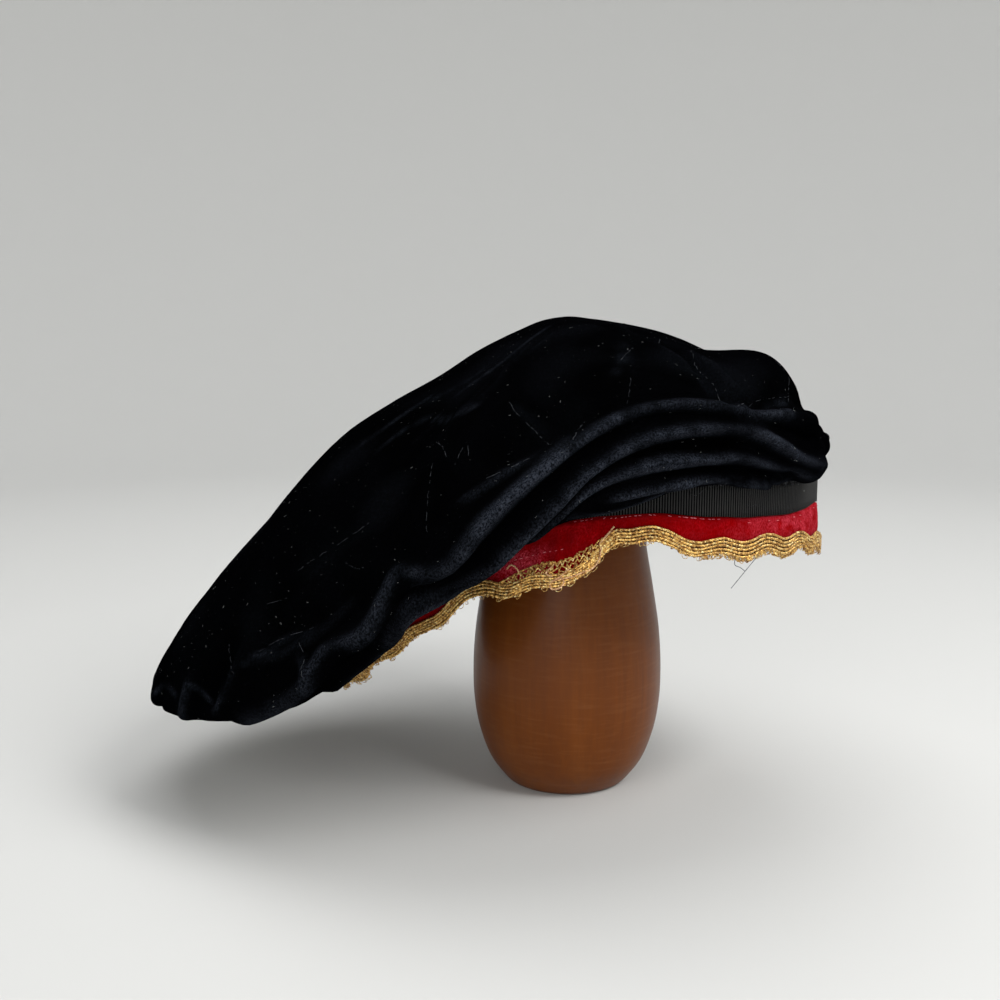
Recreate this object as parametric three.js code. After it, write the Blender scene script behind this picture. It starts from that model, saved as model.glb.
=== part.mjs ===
// A soft velvet cap on a plain turned wooden stand: a gathered crown, a grosgrain ribbon,
// a red velvet band and a gold braid. Millimetres, +Z up. The origin is the centre of the
// stand's foot. The cap's high end is at +X, its hanging end at -X and its near side at -Y.
// Angles are degrees round the stand's axis, from +X towards the near side.
import * as THREE from "three";

// Driving dimensions of the head opening, an oval that dips and leans over at its hanging end
const OPENING_CENTRE_X = 4.5;
const OPENING_HALF_LENGTH = 92.5;
const OPENING_HALF_WIDTH = 77;
const LEAN_STARTS_X = 15;
const LEAN_ENDS_X = -90;
const LEAN_ANGLE = 38;

// Driving dimensions of the cloth
const VELVET_WALL = 2.2;
const RIBBON_WALL = 1;
const RED_WALL = 1.7;
const BRAID_WALL = 1.4;
const CLOTH_GAP = 0.4;
const RIBBON_OVER_RED = 6;
const RED_SWELL = 1.3;
const RED_TURN_HEIGHT = 2;
const RED_EDGE_HEIGHT = 2.5;
const RED_EDGE_ROUND = 0.5;
const BRAID_HEIGHT = 8.5;
const BRAID_BELOW_BAND = 1.2;
const BRAID_WAVE_HEIGHT = 1.1;
const BRAID_WAVES = 26;
const BRAID_WAVE_START = 2.3;
const FLARE_HEIGHT = 14;
const FLARE_POWER = 1.5;
const CROWN_TOP_Z = 186.8;

// Driving dimensions of the stand
const STAND_TOP_Z = 184;
const STAND_TOP_GAP = 0.9;
const STAND_SIDES = 32;

// How the crown's section is shared out, from the ribbon (0) to the top (1), and how firmly
// its curve leaves the ribbon, turns at the sag and turns at the rim
const SAG_SHARE = 0.18;
const RIM_SHARE = 0.42;
const FOLDS_FROM_SHARE = 0.06;
const RISE_FROM_RIBBON = 14;
const PUSH_FROM_RIBBON = 0.8;
const PUSH_INTO_SAG = 1.2;
const PUSH_FROM_SAG = 1.3;
const LIFT_INTO_RIM = 1.2;
const LEAST_RIM_LIFT = 10;
const HEM_TURN = 1;
const DOME_BLEND = 1;
const SECTION_BLEND = 7;

// The head opening's edge. lower is the band's lower edge in Z, and the ribbon runs from
// ribbonFrom to ribbonTo above it. flare is how far the lower edge stands out.
const BAND_STATIONS = [
  { angle: 0, lower: 95, ribbonFrom: 20, ribbonTo: 31.5, flare: 0 },
  { angle: 16, lower: 99, ribbonFrom: 19, ribbonTo: 30.5, flare: 0 },
  { angle: 30, lower: 102.6, ribbonFrom: 15.1, ribbonTo: 26.8, flare: 0 },
  { angle: 40, lower: 104.3, ribbonFrom: 13.4, ribbonTo: 25.3, flare: 0 },
  { angle: 52, lower: 105.5, ribbonFrom: 13.2, ribbonTo: 25.3, flare: 0 },
  { angle: 62, lower: 105.8, ribbonFrom: 14.3, ribbonTo: 26.5, flare: 0 },
  { angle: 68, lower: 107.4, ribbonFrom: 13.7, ribbonTo: 26, flare: 0 },
  { angle: 74, lower: 110, ribbonFrom: 12.4, ribbonTo: 24.7, flare: 0 },
  { angle: 80, lower: 112.9, ribbonFrom: 9.7, ribbonTo: 21.9, flare: 0 },
  { angle: 84, lower: 112.5, ribbonFrom: 9.8, ribbonTo: 21.9, flare: 0 },
  { angle: 87, lower: 109.6, ribbonFrom: 12.4, ribbonTo: 24.5, flare: 0.6 },
  { angle: 90, lower: 105.8, ribbonFrom: 15.7, ribbonTo: 27.9, flare: 2 },
  { angle: 95, lower: 103.2, ribbonFrom: 17, ribbonTo: 29.1, flare: 3.8 },
  { angle: 100, lower: 100.6, ribbonFrom: 17.9, ribbonTo: 29.9, flare: 5.2 },
  { angle: 105, lower: 98.1, ribbonFrom: 18.2, ribbonTo: 30.2, flare: 5.6 },
  { angle: 110, lower: 95.8, ribbonFrom: 18.2, ribbonTo: 30.2, flare: 4.5 },
  { angle: 120, lower: 87.7, ribbonFrom: 17.8, ribbonTo: 29.8, flare: 1.5 },
  { angle: 131, lower: 74, ribbonFrom: 18, ribbonTo: 30, flare: 0 },
  { angle: 149, lower: 54, ribbonFrom: 17, ribbonTo: 29, flare: 0 },
  { angle: 163, lower: 44.5, ribbonFrom: 17, ribbonTo: 29, flare: 0 },
  { angle: 180, lower: 40, ribbonFrom: 17, ribbonTo: 29, flare: 0 },
];

// The crown's sections without folds. It sags from the ribbon to (sagReach, sagZ), turns up
// to its rim at (rimReach, rimZ) and closes over the top. fullness is the top curve's power.
const CROWN_SECTIONS = [
  { angle: 0, sagReach: 99.8, sagZ: 132, rimReach: 101, rimZ: 139, fullness: 1.42 },
  { angle: 20, sagReach: 97.5, sagZ: 135, rimReach: 100.5, rimZ: 144.5, fullness: 1.5 },
  { angle: 40, sagReach: 94.5, sagZ: 135.2, rimReach: 99.5, rimZ: 150, fullness: 1.64 },
  { angle: 60, sagReach: 91, sagZ: 133.6, rimReach: 100, rimZ: 156, fullness: 1.8 },
  { angle: 75, sagReach: 90, sagZ: 131.5, rimReach: 101, rimZ: 160, fullness: 1.86 },
  { angle: 90, sagReach: 92, sagZ: 127, rimReach: 105, rimZ: 153.5, fullness: 1.86 },
  { angle: 98, sagReach: 94.5, sagZ: 121.5, rimReach: 110, rimZ: 142, fullness: 1.83 },
  { angle: 105, sagReach: 97, sagZ: 111.5, rimReach: 114, rimZ: 128, fullness: 1.78 },
  { angle: 115, sagReach: 98.5, sagZ: 95, rimReach: 120, rimZ: 110, fullness: 1.68 },
  { angle: 125, sagReach: 101, sagZ: 79, rimReach: 126, rimZ: 87, fullness: 1.59 },
  { angle: 135, sagReach: 107, sagZ: 62, rimReach: 134, rimZ: 65, fullness: 1.5 },
  { angle: 150, sagReach: 119, sagZ: 43.5, rimReach: 150, rimZ: 50.5, fullness: 1.41 },
  { angle: 165, sagReach: 130, sagZ: 38.5, rimReach: 163, rimZ: 44, fullness: 1.35 },
  { angle: 180, sagReach: 134, sagZ: 38, rimReach: 168, rimZ: 39, fullness: 1.32 },
];

// Rolls stand out of the crown and creases go in. A route is a row of [angle, share] points,
// with share from the ribbon (0) to the top (1). fade is the length over which an end dies.
const CROWN_FOLDS = [
  {
    name: "upper roll", height: 4, halfWidth: 6.2, fade: 14,
    route: [[22, 0.45], [38, 0.49], [52, 0.46], [72, 0.46], [90, 0.43], [104, 0.43], [112, 0.39],
      [117, 0.45], [120, 0.48], [124, 0.42], [131, 0.46], [136, 0.39], [148, 0.38]],
  },
  {
    name: "middle roll", height: 4.2, halfWidth: 6, fade: 12,
    route: [[22, 0.28], [38, 0.31], [54, 0.4], [72, 0.39], [85, 0.37], [94, 0.34], [104, 0.29],
      [112, 0.25], [116, 0.31], [119, 0.34], [123, 0.27], [130, 0.27], [138, 0.22]],
  },
  {
    name: "lower roll", height: 3.4, halfWidth: 5, fade: 12,
    route: [[26, 0.2], [40, 0.27], [56, 0.33], [72, 0.32], [86, 0.32], [95, 0.29], [103, 0.22]],
  },
  {
    name: "ribbon roll", height: 3.2, halfWidth: 4.8, fade: 12,
    route: [[30, 0.12], [48, 0.2], [62, 0.26], [78, 0.26], [90, 0.27]],
  },
  {
    name: "top crease", height: -5, halfWidth: 9, fade: 12,
    route: [[57, 0.88], [57, 0.76], [56, 0.68], [60, 0.58], [58, 0.49]],
  },
  {
    name: "high end crease", height: -3.5, halfWidth: 7, fade: 10,
    route: [[58, 0.49], [46, 0.53], [34, 0.56], [22, 0.54], [8, 0.5]],
  },
  {
    name: "tip notch", height: -4, halfWidth: 6, fade: 8,
    route: [[166, 0.47], [164, 0.42], [166, 0.34]],
  },
  {
    name: "far upper roll", height: 3, halfWidth: 6.2, fade: 16,
    route: [[-34, 0.44], [-60, 0.45], [-88, 0.42], [-108, 0.41], [-126, 0.43], [-142, 0.38]],
  },
  {
    name: "far middle roll", height: 3.2, halfWidth: 6, fade: 14,
    route: [[-30, 0.28], [-56, 0.37], [-84, 0.34], [-104, 0.29], [-122, 0.3], [-134, 0.24]],
  },
  {
    name: "far lower roll", height: 2.8, halfWidth: 5, fade: 12,
    route: [[-40, 0.2], [-60, 0.28], [-80, 0.26], [-96, 0.24]],
  },
];

// Rounded swellings of the crown
const CROWN_BUMPS = [
  { name: "high end swelling", height: 8.8, radius: 27, angle: 27, share: 0.65 },
  { name: "back swelling", height: 4, radius: 56, angle: 180, share: 0.74 },
  { name: "top swelling", height: 1.8, radius: 36, angle: 175, share: 0.88 },
];

// The stand's side, from the foot up to where its domed top starts
const STAND_SECTIONS = [
  { z: 2.2, radius: 25.6 },
  { z: 8, radius: 30 },
  { z: 20, radius: 35 },
  { z: 34, radius: 37.6 },
  { z: 47, radius: 38 },
  { z: 63, radius: 37 },
  { z: 80, radius: 34.4 },
  { z: 96, radius: 31.6 },
  { z: 116, radius: 28.6 },
  { z: 140, radius: 26.4 },
  { z: 158, radius: 25 },
];
const STAND_FOOT_RADIUS = 23.6;
const STAND_DOME_RADIUS = 27;

// How finely the solids are cut into facets
const NEAR_STEP = 3.5;
const FAR_STEP = 7.5;
const NEAR_FROM = 9;
const NEAR_TO = 159.5;
const STEPS_PER_WAVE = 6;
const CROWN_SHARES = [
  0.03, 0.07, 0.11, 0.15, 0.18, 0.21, 0.24, 0.27, 0.3, 0.33, 0.36, 0.39, 0.42,
  0.45, 0.48, 0.52, 0.57, 0.63, 0.7, 0.78, 0.86, 0.93,
];
const STAND_SIDE_STEPS = 16;
const STAND_DOME_STEPS = 6;
const ROUTE_STEPS = 36;
const SLOPE_ANGLE = 0.5;
const SLOPE_SHARE = 0.004;

const smoothStep = (value) => THREE.MathUtils.smoothstep(value, 0, 1);

// The same angle on either side of the cap, from 0 at the high end to 180 at the hanging end
function foldedAngle(angle) {
  const turned = THREE.MathUtils.euclideanModulo(angle, 360);
  return turned > 180 ? 360 - turned : turned;
}

// Slopes at a table's rows that keep the curve between two rows from overshooting them
function rowSlopes(rows, column) {
  const slopes = rows.map(() => 0);
  for (let i = 1; i < rows.length - 1; i++) {
    const before = rows[i].angle - rows[i - 1].angle;
    const after = rows[i + 1].angle - rows[i].angle;
    const slopeBefore = (rows[i][column] - rows[i - 1][column]) / before;
    const slopeAfter = (rows[i + 1][column] - rows[i][column]) / after;
    if (slopeBefore * slopeAfter > 0) {
      const weightBefore = before + 2 * after;
      const weightAfter = 2 * before + after;
      slopes[i] = (weightBefore + weightAfter)
        / (weightAfter / slopeBefore + weightBefore / slopeAfter);
    }
  }
  return slopes;
}

// The four weights of a cubic curve: start, start slope, end and end slope
function cubicWeights(s) {
  return [
    (1 + 2 * s) * (1 - s) ** 2,
    s * (1 - s) ** 2,
    s * s * (3 - 2 * s),
    s * s * (s - 1),
  ];
}

// A column of a table as a smooth function of the angle
function smoothColumn(rows, column) {
  const slopes = rowSlopes(rows, column);
  return (angle) => {
    const folded = foldedAngle(angle);
    const found = rows.findIndex((row) => row.angle > folded);
    const next = found < 0 ? rows.length - 1 : found;
    const last = next - 1;
    const span = rows[next].angle - rows[last].angle;
    const weights = cubicWeights((folded - rows[last].angle) / span);
    return weights[0] * rows[last][column] + weights[1] * slopes[last] * span
      + weights[2] * rows[next][column] + weights[3] * slopes[next] * span;
  };
}

// A smooth column that is also averaged over the angles close by
function blendedColumn(rows, column) {
  const value = smoothColumn(rows, column);
  return (angle) => (
    value(angle - SECTION_BLEND) + 2 * value(angle) + value(angle + SECTION_BLEND)
  ) / 4;
}

const bandLower = smoothColumn(BAND_STATIONS, "lower");
const ribbonFrom = smoothColumn(BAND_STATIONS, "ribbonFrom");
const ribbonTo = smoothColumn(BAND_STATIONS, "ribbonTo");
const bandFlare = smoothColumn(BAND_STATIONS, "flare");
const sagReach = blendedColumn(CROWN_SECTIONS, "sagReach");
const sagZ = blendedColumn(CROWN_SECTIONS, "sagZ");
const rimReach = blendedColumn(CROWN_SECTIONS, "rimReach");
const rimZ = blendedColumn(CROWN_SECTIONS, "rimZ");
const fullness = blendedColumn(CROWN_SECTIONS, "fullness");

// A point of the band: up from its lower edge and out from the ribbon's inner face
function bandPoint(angle, up, out) {
  const turn = THREE.MathUtils.degToRad(angle);
  const edge = new THREE.Vector3(
    OPENING_CENTRE_X + OPENING_HALF_LENGTH * Math.cos(turn),
    -OPENING_HALF_WIDTH * Math.sin(turn),
    bandLower(angle),
  );
  const leaning = smoothStep((LEAN_STARTS_X - edge.x) / (LEAN_STARTS_X - LEAN_ENDS_X));
  const lean = THREE.MathUtils.degToRad(LEAN_ANGLE) * leaning;
  const rise = new THREE.Vector3(-Math.sin(lean), 0, Math.cos(lean));
  const outward = new THREE.Vector3(
    OPENING_HALF_WIDTH * Math.cos(turn),
    -OPENING_HALF_LENGTH * Math.sin(turn),
    0,
  ).normalize();
  outward.addScaledVector(rise, -outward.dot(rise)).normalize();
  const flareShare = Math.max(1 - up / FLARE_HEIGHT, 0) ** FLARE_POWER;
  return edge
    .addScaledVector(rise, up)
    .addScaledVector(outward, out + bandFlare(angle) * flareShare);
}

// The seam where the crown comes out from behind the ribbon's upper edge
const seamPoint = (angle) => bandPoint(angle, ribbonTo(angle), -CLOTH_GAP);

// Reach and height of the crown between the ribbon and its sag
function saggingPart(angle, share, seamReach, seamZ) {
  const weights = cubicWeights(share / SAG_SHARE);
  const gap = sagReach(angle) - seamReach;
  const reach = weights[0] * seamReach + weights[1] * gap * PUSH_FROM_RIBBON
    + weights[2] * sagReach(angle) + weights[3] * gap * PUSH_INTO_SAG;
  const z = weights[0] * seamZ + weights[1] * RISE_FROM_RIBBON
    + weights[2] * sagZ(angle);
  return [reach, z];
}

// Reach and height of the crown between its sag and its rim
function risingPart(angle, share) {
  const weights = cubicWeights((share - SAG_SHARE) / (RIM_SHARE - SAG_SHARE));
  const span = rimReach(angle) - sagReach(angle);
  const lift = Math.abs(rimZ(angle) - sagZ(angle));
  const reach = weights[0] * sagReach(angle) + weights[1] * span * PUSH_FROM_SAG
    + weights[2] * rimReach(angle);
  const z = weights[0] * sagZ(angle) + weights[2] * rimZ(angle)
    + weights[3] * (lift * LIFT_INTO_RIM + LEAST_RIM_LIFT);
  return [reach, z];
}

// Height of the crown's outer face where it lies on the stand's dome
function overDome(reach) {
  const top = STAND_TOP_Z + STAND_TOP_GAP + VELVET_WALL;
  return top - reach ** 2 / (2 * STAND_DOME_RADIUS);
}

// Reach and height of the crown between its rim and its top
function closingPart(angle, share) {
  const turn = (share - RIM_SHARE) / (1 - RIM_SHARE) * Math.PI / 2;
  const power = 2 / fullness(angle);
  const reach = rimReach(angle) * Math.cos(turn) ** power;
  const free = rimZ(angle) + (CROWN_TOP_Z - rimZ(angle)) * Math.sin(turn) ** power;
  const resting = overDome(reach);
  return [reach, (free + resting + Math.hypot(free - resting, DOME_BLEND)) / 2];
}

// The crown's outer surface without its folds
function smoothCrown(angle, share) {
  const seam = seamPoint(angle);
  const seamReach = Math.hypot(seam.x, seam.y);
  const seamAngle = THREE.MathUtils.radToDeg(Math.atan2(-seam.y, seam.x));
  let part;
  if (share < SAG_SHARE) part = saggingPart(angle, share, seamReach, seam.z);
  else if (share < RIM_SHARE) part = risingPart(angle, share);
  else part = closingPart(angle, share);
  const [reach, z] = part;
  const drift = THREE.MathUtils.euclideanModulo(angle - seamAngle + 180, 360) - 180;
  const turn = THREE.MathUtils.degToRad(seamAngle + drift * smoothStep(share / RIM_SHARE));
  return new THREE.Vector3(reach * Math.cos(turn), -reach * Math.sin(turn), z);
}

// A fold's middle line on the smooth crown
function foldLine(fold) {
  const route = new THREE.SplineCurve(
    fold.route.map(([angle, share]) => new THREE.Vector2(angle, share)),
  );
  return route.getPoints(ROUTE_STEPS).map((spot) => smoothCrown(spot.x, spot.y));
}

const foldLines = CROWN_FOLDS.map(foldLine);
const bumpCentres = CROWN_BUMPS.map((bump) => smoothCrown(bump.angle, bump.share));

// A rounded profile that is 1 in the middle and 0 at its half width
function roundProfile(distance, halfWidth) {
  if (distance >= halfWidth) return 0;
  return Math.cos(distance / halfWidth * Math.PI / 2) ** 2;
}

// Distance from a point to a line of short straight pieces
function distanceToLine(point, line) {
  const nearest = new THREE.Vector3();
  let least = Infinity;
  for (let i = 1; i < line.length; i++) {
    new THREE.Line3(line[i - 1], line[i]).closestPointToPoint(point, true, nearest);
    least = Math.min(least, nearest.distanceTo(point));
  }
  return least;
}

// How far the folds and bumps lift the crown at a point of its smooth surface
function foldLift(point) {
  let lift = 0;
  CROWN_FOLDS.forEach((fold, i) => {
    const line = foldLines[i];
    const toEnd = Math.min(point.distanceTo(line[0]), point.distanceTo(line.at(-1)));
    const profile = roundProfile(distanceToLine(point, line), fold.halfWidth);
    lift += fold.height * profile * smoothStep(toEnd / fold.fade);
  });
  CROWN_BUMPS.forEach((bump, i) => {
    lift += bump.height * roundProfile(point.distanceTo(bumpCentres[i]), bump.radius);
  });
  return lift;
}

// The crown's faces at one spot: the outer one with its folds, and the inner one
function crownWall(angle, share) {
  const point = smoothCrown(angle, share);
  const along = smoothCrown(angle, Math.min(share + SLOPE_SHARE, 1 - SLOPE_SHARE))
    .sub(smoothCrown(angle, share - SLOPE_SHARE));
  const around = smoothCrown(angle + SLOPE_ANGLE, share)
    .sub(smoothCrown(angle - SLOPE_ANGLE, share));
  const outward = along.cross(around).normalize();
  const lift = foldLift(point) * smoothStep(share / FOLDS_FROM_SHARE);
  return {
    outer: point.clone().addScaledVector(outward, lift),
    inner: point.clone().addScaledVector(outward, lift - VELVET_WALL),
  };
}

// Angles of the facets round the cap, closer together on the near side
function facetAngles() {
  const angles = [];
  for (let angle = NEAR_FROM; angle < NEAR_TO; angle += NEAR_STEP) angles.push(angle);
  for (let angle = NEAR_TO; angle < NEAR_FROM + 360; angle += FAR_STEP) angles.push(angle);
  return angles;
}

// One closed skin through a row of rings. A ring of one point closes an end, and otherwise
// the last ring joins the first.
function ringSkin(rings) {
  const starts = [];
  const positions = [];
  for (const ring of rings) {
    starts.push(positions.length / 3);
    for (const point of ring) positions.push(point.x, point.y, point.z);
  }
  const indices = [];
  const joins = rings[0].length === 1 ? rings.length - 1 : rings.length;
  for (let i = 0; i < joins; i++) {
    const j = (i + 1) % rings.length;
    const count = Math.max(rings[i].length, rings[j].length);
    for (let k = 0; k < count; k++) {
      const next = (k + 1) % count;
      const a = starts[i] + k % rings[i].length;
      const b = starts[i] + next % rings[i].length;
      const c = starts[j] + next % rings[j].length;
      const d = starts[j] + k % rings[j].length;
      if (a !== b) indices.push(a, b, c);
      if (c !== d) indices.push(a, c, d);
    }
  }
  const geometry = new THREE.BufferGeometry();
  geometry.setAttribute("position", new THREE.Float32BufferAttribute(positions, 3));
  geometry.setIndex(indices);
  geometry.computeVertexNormals();
  return geometry;
}

// A closed strip round the head opening. section gives its outline as [up, out] points.
function bandGeometry(section, angles = facetAngles()) {
  const corners = section(0).length;
  const rings = [];
  for (let corner = 0; corner < corners; corner++) {
    rings.push(angles.map((angle) => bandPoint(angle, ...section(angle)[corner])));
  }
  return ringSkin(rings);
}

// The velvet crown: a hem behind the ribbon, then the gathered wall up to the closed top
function crownGeometry() {
  const angles = facetAngles();
  const hemFoot = (angle) => ribbonTo(angle) - RIBBON_OVER_RED + CLOTH_GAP;
  const hemOut = -CLOTH_GAP;
  const hemIn = -CLOTH_GAP - VELVET_WALL;
  const outer = [
    angles.map((angle) => bandPoint(angle, hemFoot(angle), hemOut)),
    angles.map((angle) => seamPoint(angle)),
  ];
  const inner = [
    angles.map((angle) => bandPoint(angle, hemFoot(angle), hemIn)),
    angles.map((angle) => bandPoint(angle, ribbonTo(angle) + HEM_TURN, hemIn)),
  ];
  for (const share of CROWN_SHARES) {
    const walls = angles.map((angle) => crownWall(angle, share));
    outer.push(walls.map((wall) => wall.outer));
    inner.push(walls.map((wall) => wall.inner));
  }
  const top = new THREE.Vector3(0, 0, smoothCrown(0, 1).z);
  const underTop = new THREE.Vector3(0, 0, top.z - VELVET_WALL);
  return ringSkin([[top], ...outer.reverse(), ...inner, [underTop]]);
}

// The grosgrain ribbon, flat round the joint of the crown and the red band
function ribbonGeometry() {
  return bandGeometry((angle) => [
    [ribbonTo(angle), 0],
    [ribbonTo(angle), RIBBON_WALL],
    [ribbonFrom(angle), RIBBON_WALL],
    [ribbonFrom(angle), 0],
  ]);
}

// The red velvet band: its top goes up behind the ribbon and its lower part swells out
function redBandGeometry() {
  const top = (angle) => ribbonTo(angle) - RIBBON_OVER_RED;
  const back = -CLOTH_GAP - RED_WALL;
  return bandGeometry((angle) => [
    [top(angle), back],
    [top(angle), -CLOTH_GAP],
    [ribbonFrom(angle) - CLOTH_GAP, -CLOTH_GAP],
    [ribbonFrom(angle) - RED_TURN_HEIGHT, RIBBON_WALL],
    [ribbonFrom(angle) / 2, RED_SWELL],
    [RED_EDGE_HEIGHT, RIBBON_WALL],
    [RED_EDGE_ROUND, 0],
    [0, back / 2],
    [RED_EDGE_ROUND, back],
  ]);
}

// The gold braid: a waved strip over the red band's lower edge
function braidGeometry() {
  const inFace = RED_SWELL + CLOTH_GAP;
  const outFace = inFace + BRAID_WALL;
  const steps = BRAID_WAVES * STEPS_PER_WAVE;
  const angles = Array.from({ length: steps }, (_, i) => i * 360 / steps);
  return bandGeometry((angle) => {
    const wave = Math.sin(THREE.MathUtils.degToRad(angle - BRAID_WAVE_START) * BRAID_WAVES);
    const foot = -BRAID_BELOW_BAND + BRAID_WAVE_HEIGHT * wave;
    const middle = foot + BRAID_HEIGHT / 2;
    return [
      [foot + BRAID_HEIGHT, inFace],
      [foot + BRAID_HEIGHT, outFace],
      [middle, outFace],
      [foot, outFace],
      [foot, inFace],
      [middle, inFace],
    ];
  }, angles);
}

// The turned stand, with a flat foot, rounded sides and a domed top inside the crown
function standGeometry() {
  const sides = new THREE.SplineCurve(
    STAND_SECTIONS.map((row) => new THREE.Vector2(row.radius, row.z)),
  ).getPoints(STAND_SIDE_STEPS);
  const shoulder = STAND_SECTIONS.at(-1);
  const domeCentreZ = STAND_TOP_Z - STAND_DOME_RADIUS;
  const domeFrom = Math.acos(shoulder.radius / STAND_DOME_RADIUS);
  const dome = [];
  for (let i = 0; i < STAND_DOME_STEPS; i++) {
    const turn = domeFrom + (Math.PI / 2 - domeFrom) * i / STAND_DOME_STEPS;
    const radius = STAND_DOME_RADIUS * Math.cos(turn);
    dome.push(new THREE.Vector2(radius, domeCentreZ + STAND_DOME_RADIUS * Math.sin(turn)));
  }
  const profile = [
    new THREE.Vector2(0, 0),
    new THREE.Vector2(STAND_FOOT_RADIUS, 0),
    ...sides,
    ...dome,
    new THREE.Vector2(0, STAND_TOP_Z),
  ];
  return new THREE.LatheGeometry(profile, STAND_SIDES).rotateX(Math.PI / 2);
}

// A named piece with its own finish
function piece(name, geometry, finish) {
  const mesh = new THREE.Mesh(geometry, new THREE.MeshStandardMaterial(finish));
  mesh.name = name;
  return mesh;
}

const cap = new THREE.Group();
cap.add(piece("crown", crownGeometry(), { color: 0x0b0c14, roughness: 0.95, metalness: 0 }));
cap.add(piece("ribbon_band", ribbonGeometry(), { color: 0x1c1c1e, roughness: 0.7, metalness: 0 }));
cap.add(piece("red_band", redBandGeometry(), { color: 0x8e0f1a, roughness: 0.9, metalness: 0 }));
cap.add(piece("gold_braid", braidGeometry(), { color: 0xb98a3c, roughness: 0.4, metalness: 0.8 }));

const cappedStand = new THREE.Group();
cappedStand.add(cap);
cappedStand.add(piece("stand", standGeometry(), { color: 0x6b3416, roughness: 0.4, metalness: 0 }));

export default cappedStand;
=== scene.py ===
"""A soft gathered velvet cap with a ribbon, a red band and a gold braid, on a turned wooden stand.

Sizes in the classes are millimetres, as in the part's source. Meshes and lights are metres, +Z up.
Angles are degrees round the stand's axis, from +X towards the near side. A share runs over the
crown's section, from the ribbon (0) to the top (1).
"""

import logging
import math
from dataclasses import dataclass, field
from enum import Enum
from typing import Callable, Sequence

import bmesh
import bpy
import numpy as np
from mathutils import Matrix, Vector, noise


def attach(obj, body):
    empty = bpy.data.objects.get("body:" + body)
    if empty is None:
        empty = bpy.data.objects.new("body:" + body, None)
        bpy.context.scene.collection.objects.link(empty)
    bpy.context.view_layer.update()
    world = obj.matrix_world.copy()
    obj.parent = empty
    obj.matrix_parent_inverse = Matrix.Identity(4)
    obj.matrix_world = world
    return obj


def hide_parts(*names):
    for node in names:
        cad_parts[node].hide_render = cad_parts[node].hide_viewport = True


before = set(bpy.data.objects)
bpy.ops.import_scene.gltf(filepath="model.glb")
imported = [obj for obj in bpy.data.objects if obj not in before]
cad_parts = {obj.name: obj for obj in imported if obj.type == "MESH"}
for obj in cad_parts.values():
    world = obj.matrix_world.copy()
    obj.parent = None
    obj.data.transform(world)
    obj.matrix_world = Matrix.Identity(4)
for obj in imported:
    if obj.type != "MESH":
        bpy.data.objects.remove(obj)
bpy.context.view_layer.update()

LOG = logging.getLogger("cap")
MM = 0.001
BODY = "root"

VELVET_WALL = 2.2
RIBBON_WALL = 1.0
RED_WALL = 1.7
CLOTH_GAP = 0.4
RIBBON_OVER_RED = 6.0
RED_SWELL = 1.3
BRAID_BELOW_BAND = 1.2
BRAID_WAVE_HEIGHT = 1.1
BRAID_WAVES = 26
BRAID_WAVE_START = 2.3
STAND_TOP_Z = 184.0
# Degrees over which the crown's sections are averaged
SECTION_BLEND = 7.0

Array = np.ndarray
Piece = bpy.types.Object
Material = bpy.types.Material
Node = bpy.types.Node
Socket = bpy.types.NodeSocket
Triple = tuple[float, float, float]


class Slot(Enum):
    """The record's material slots."""

    VELVET = "black_velvet"
    RIBBON = "grosgrain"
    RED = "red_velvet"
    BRAID = "gold_braid"
    WOOD = "turned_wood"


@dataclass(frozen=True)
class BandStation:
    """The band's edge at one angle: its lower edge in Z, where the ribbon lies, and its flare."""

    angle: float
    lower: float
    ribbon_from: float
    ribbon_to: float
    flare: float


@dataclass(frozen=True)
class HemStation:
    """The turned hem and the braid's upper edge at one angle, over the band's lower edge."""

    angle: float
    rise: float
    braid_top: float


@dataclass(frozen=True)
class CrownSection:
    """The crown's section at one angle: its sag, its rim and the power of its top curve."""

    angle: float
    sag_reach: float
    sag_z: float
    rim_reach: float
    rim_z: float
    fullness: float


@dataclass(frozen=True)
class Fold:
    """A roll or crease along a route of (angle, share) points."""

    height: float
    half_width: float
    fade: float
    route: tuple[tuple[float, float], ...]


@dataclass(frozen=True)
class Swelling:
    """A rounded swelling of the crown."""

    height: float
    radius: float
    angle: float
    share: float


BAND_STATIONS = (
    BandStation(0, 95, 20, 31.5, 0),
    BandStation(16, 99, 19, 30.5, 0),
    BandStation(30, 102.6, 15.1, 26.8, 0),
    BandStation(40, 104.3, 13.4, 25.3, 0),
    BandStation(52, 105.5, 13.2, 25.3, 0),
    BandStation(62, 105.8, 14.3, 26.5, 0),
    BandStation(68, 107.4, 13.7, 26, 0),
    BandStation(74, 110, 12.4, 24.7, 0),
    BandStation(80, 112.9, 9.7, 21.9, 0),
    BandStation(84, 112.5, 9.8, 21.9, 0),
    BandStation(87, 109.6, 12.4, 24.5, 0.6),
    BandStation(90, 105.8, 15.7, 27.9, 2),
    BandStation(95, 103.2, 17, 29.1, 3.8),
    BandStation(100, 100.6, 17.9, 29.9, 5.2),
    BandStation(105, 98.1, 18.2, 30.2, 5.6),
    BandStation(110, 95.8, 18.2, 30.2, 4.5),
    BandStation(120, 87.7, 17.8, 29.8, 1.5),
    BandStation(131, 74, 18, 30, 0),
    BandStation(149, 54, 17, 29, 0),
    BandStation(163, 44.5, 17, 29, 0),
    BandStation(180, 40, 17, 29, 0),
)

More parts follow.
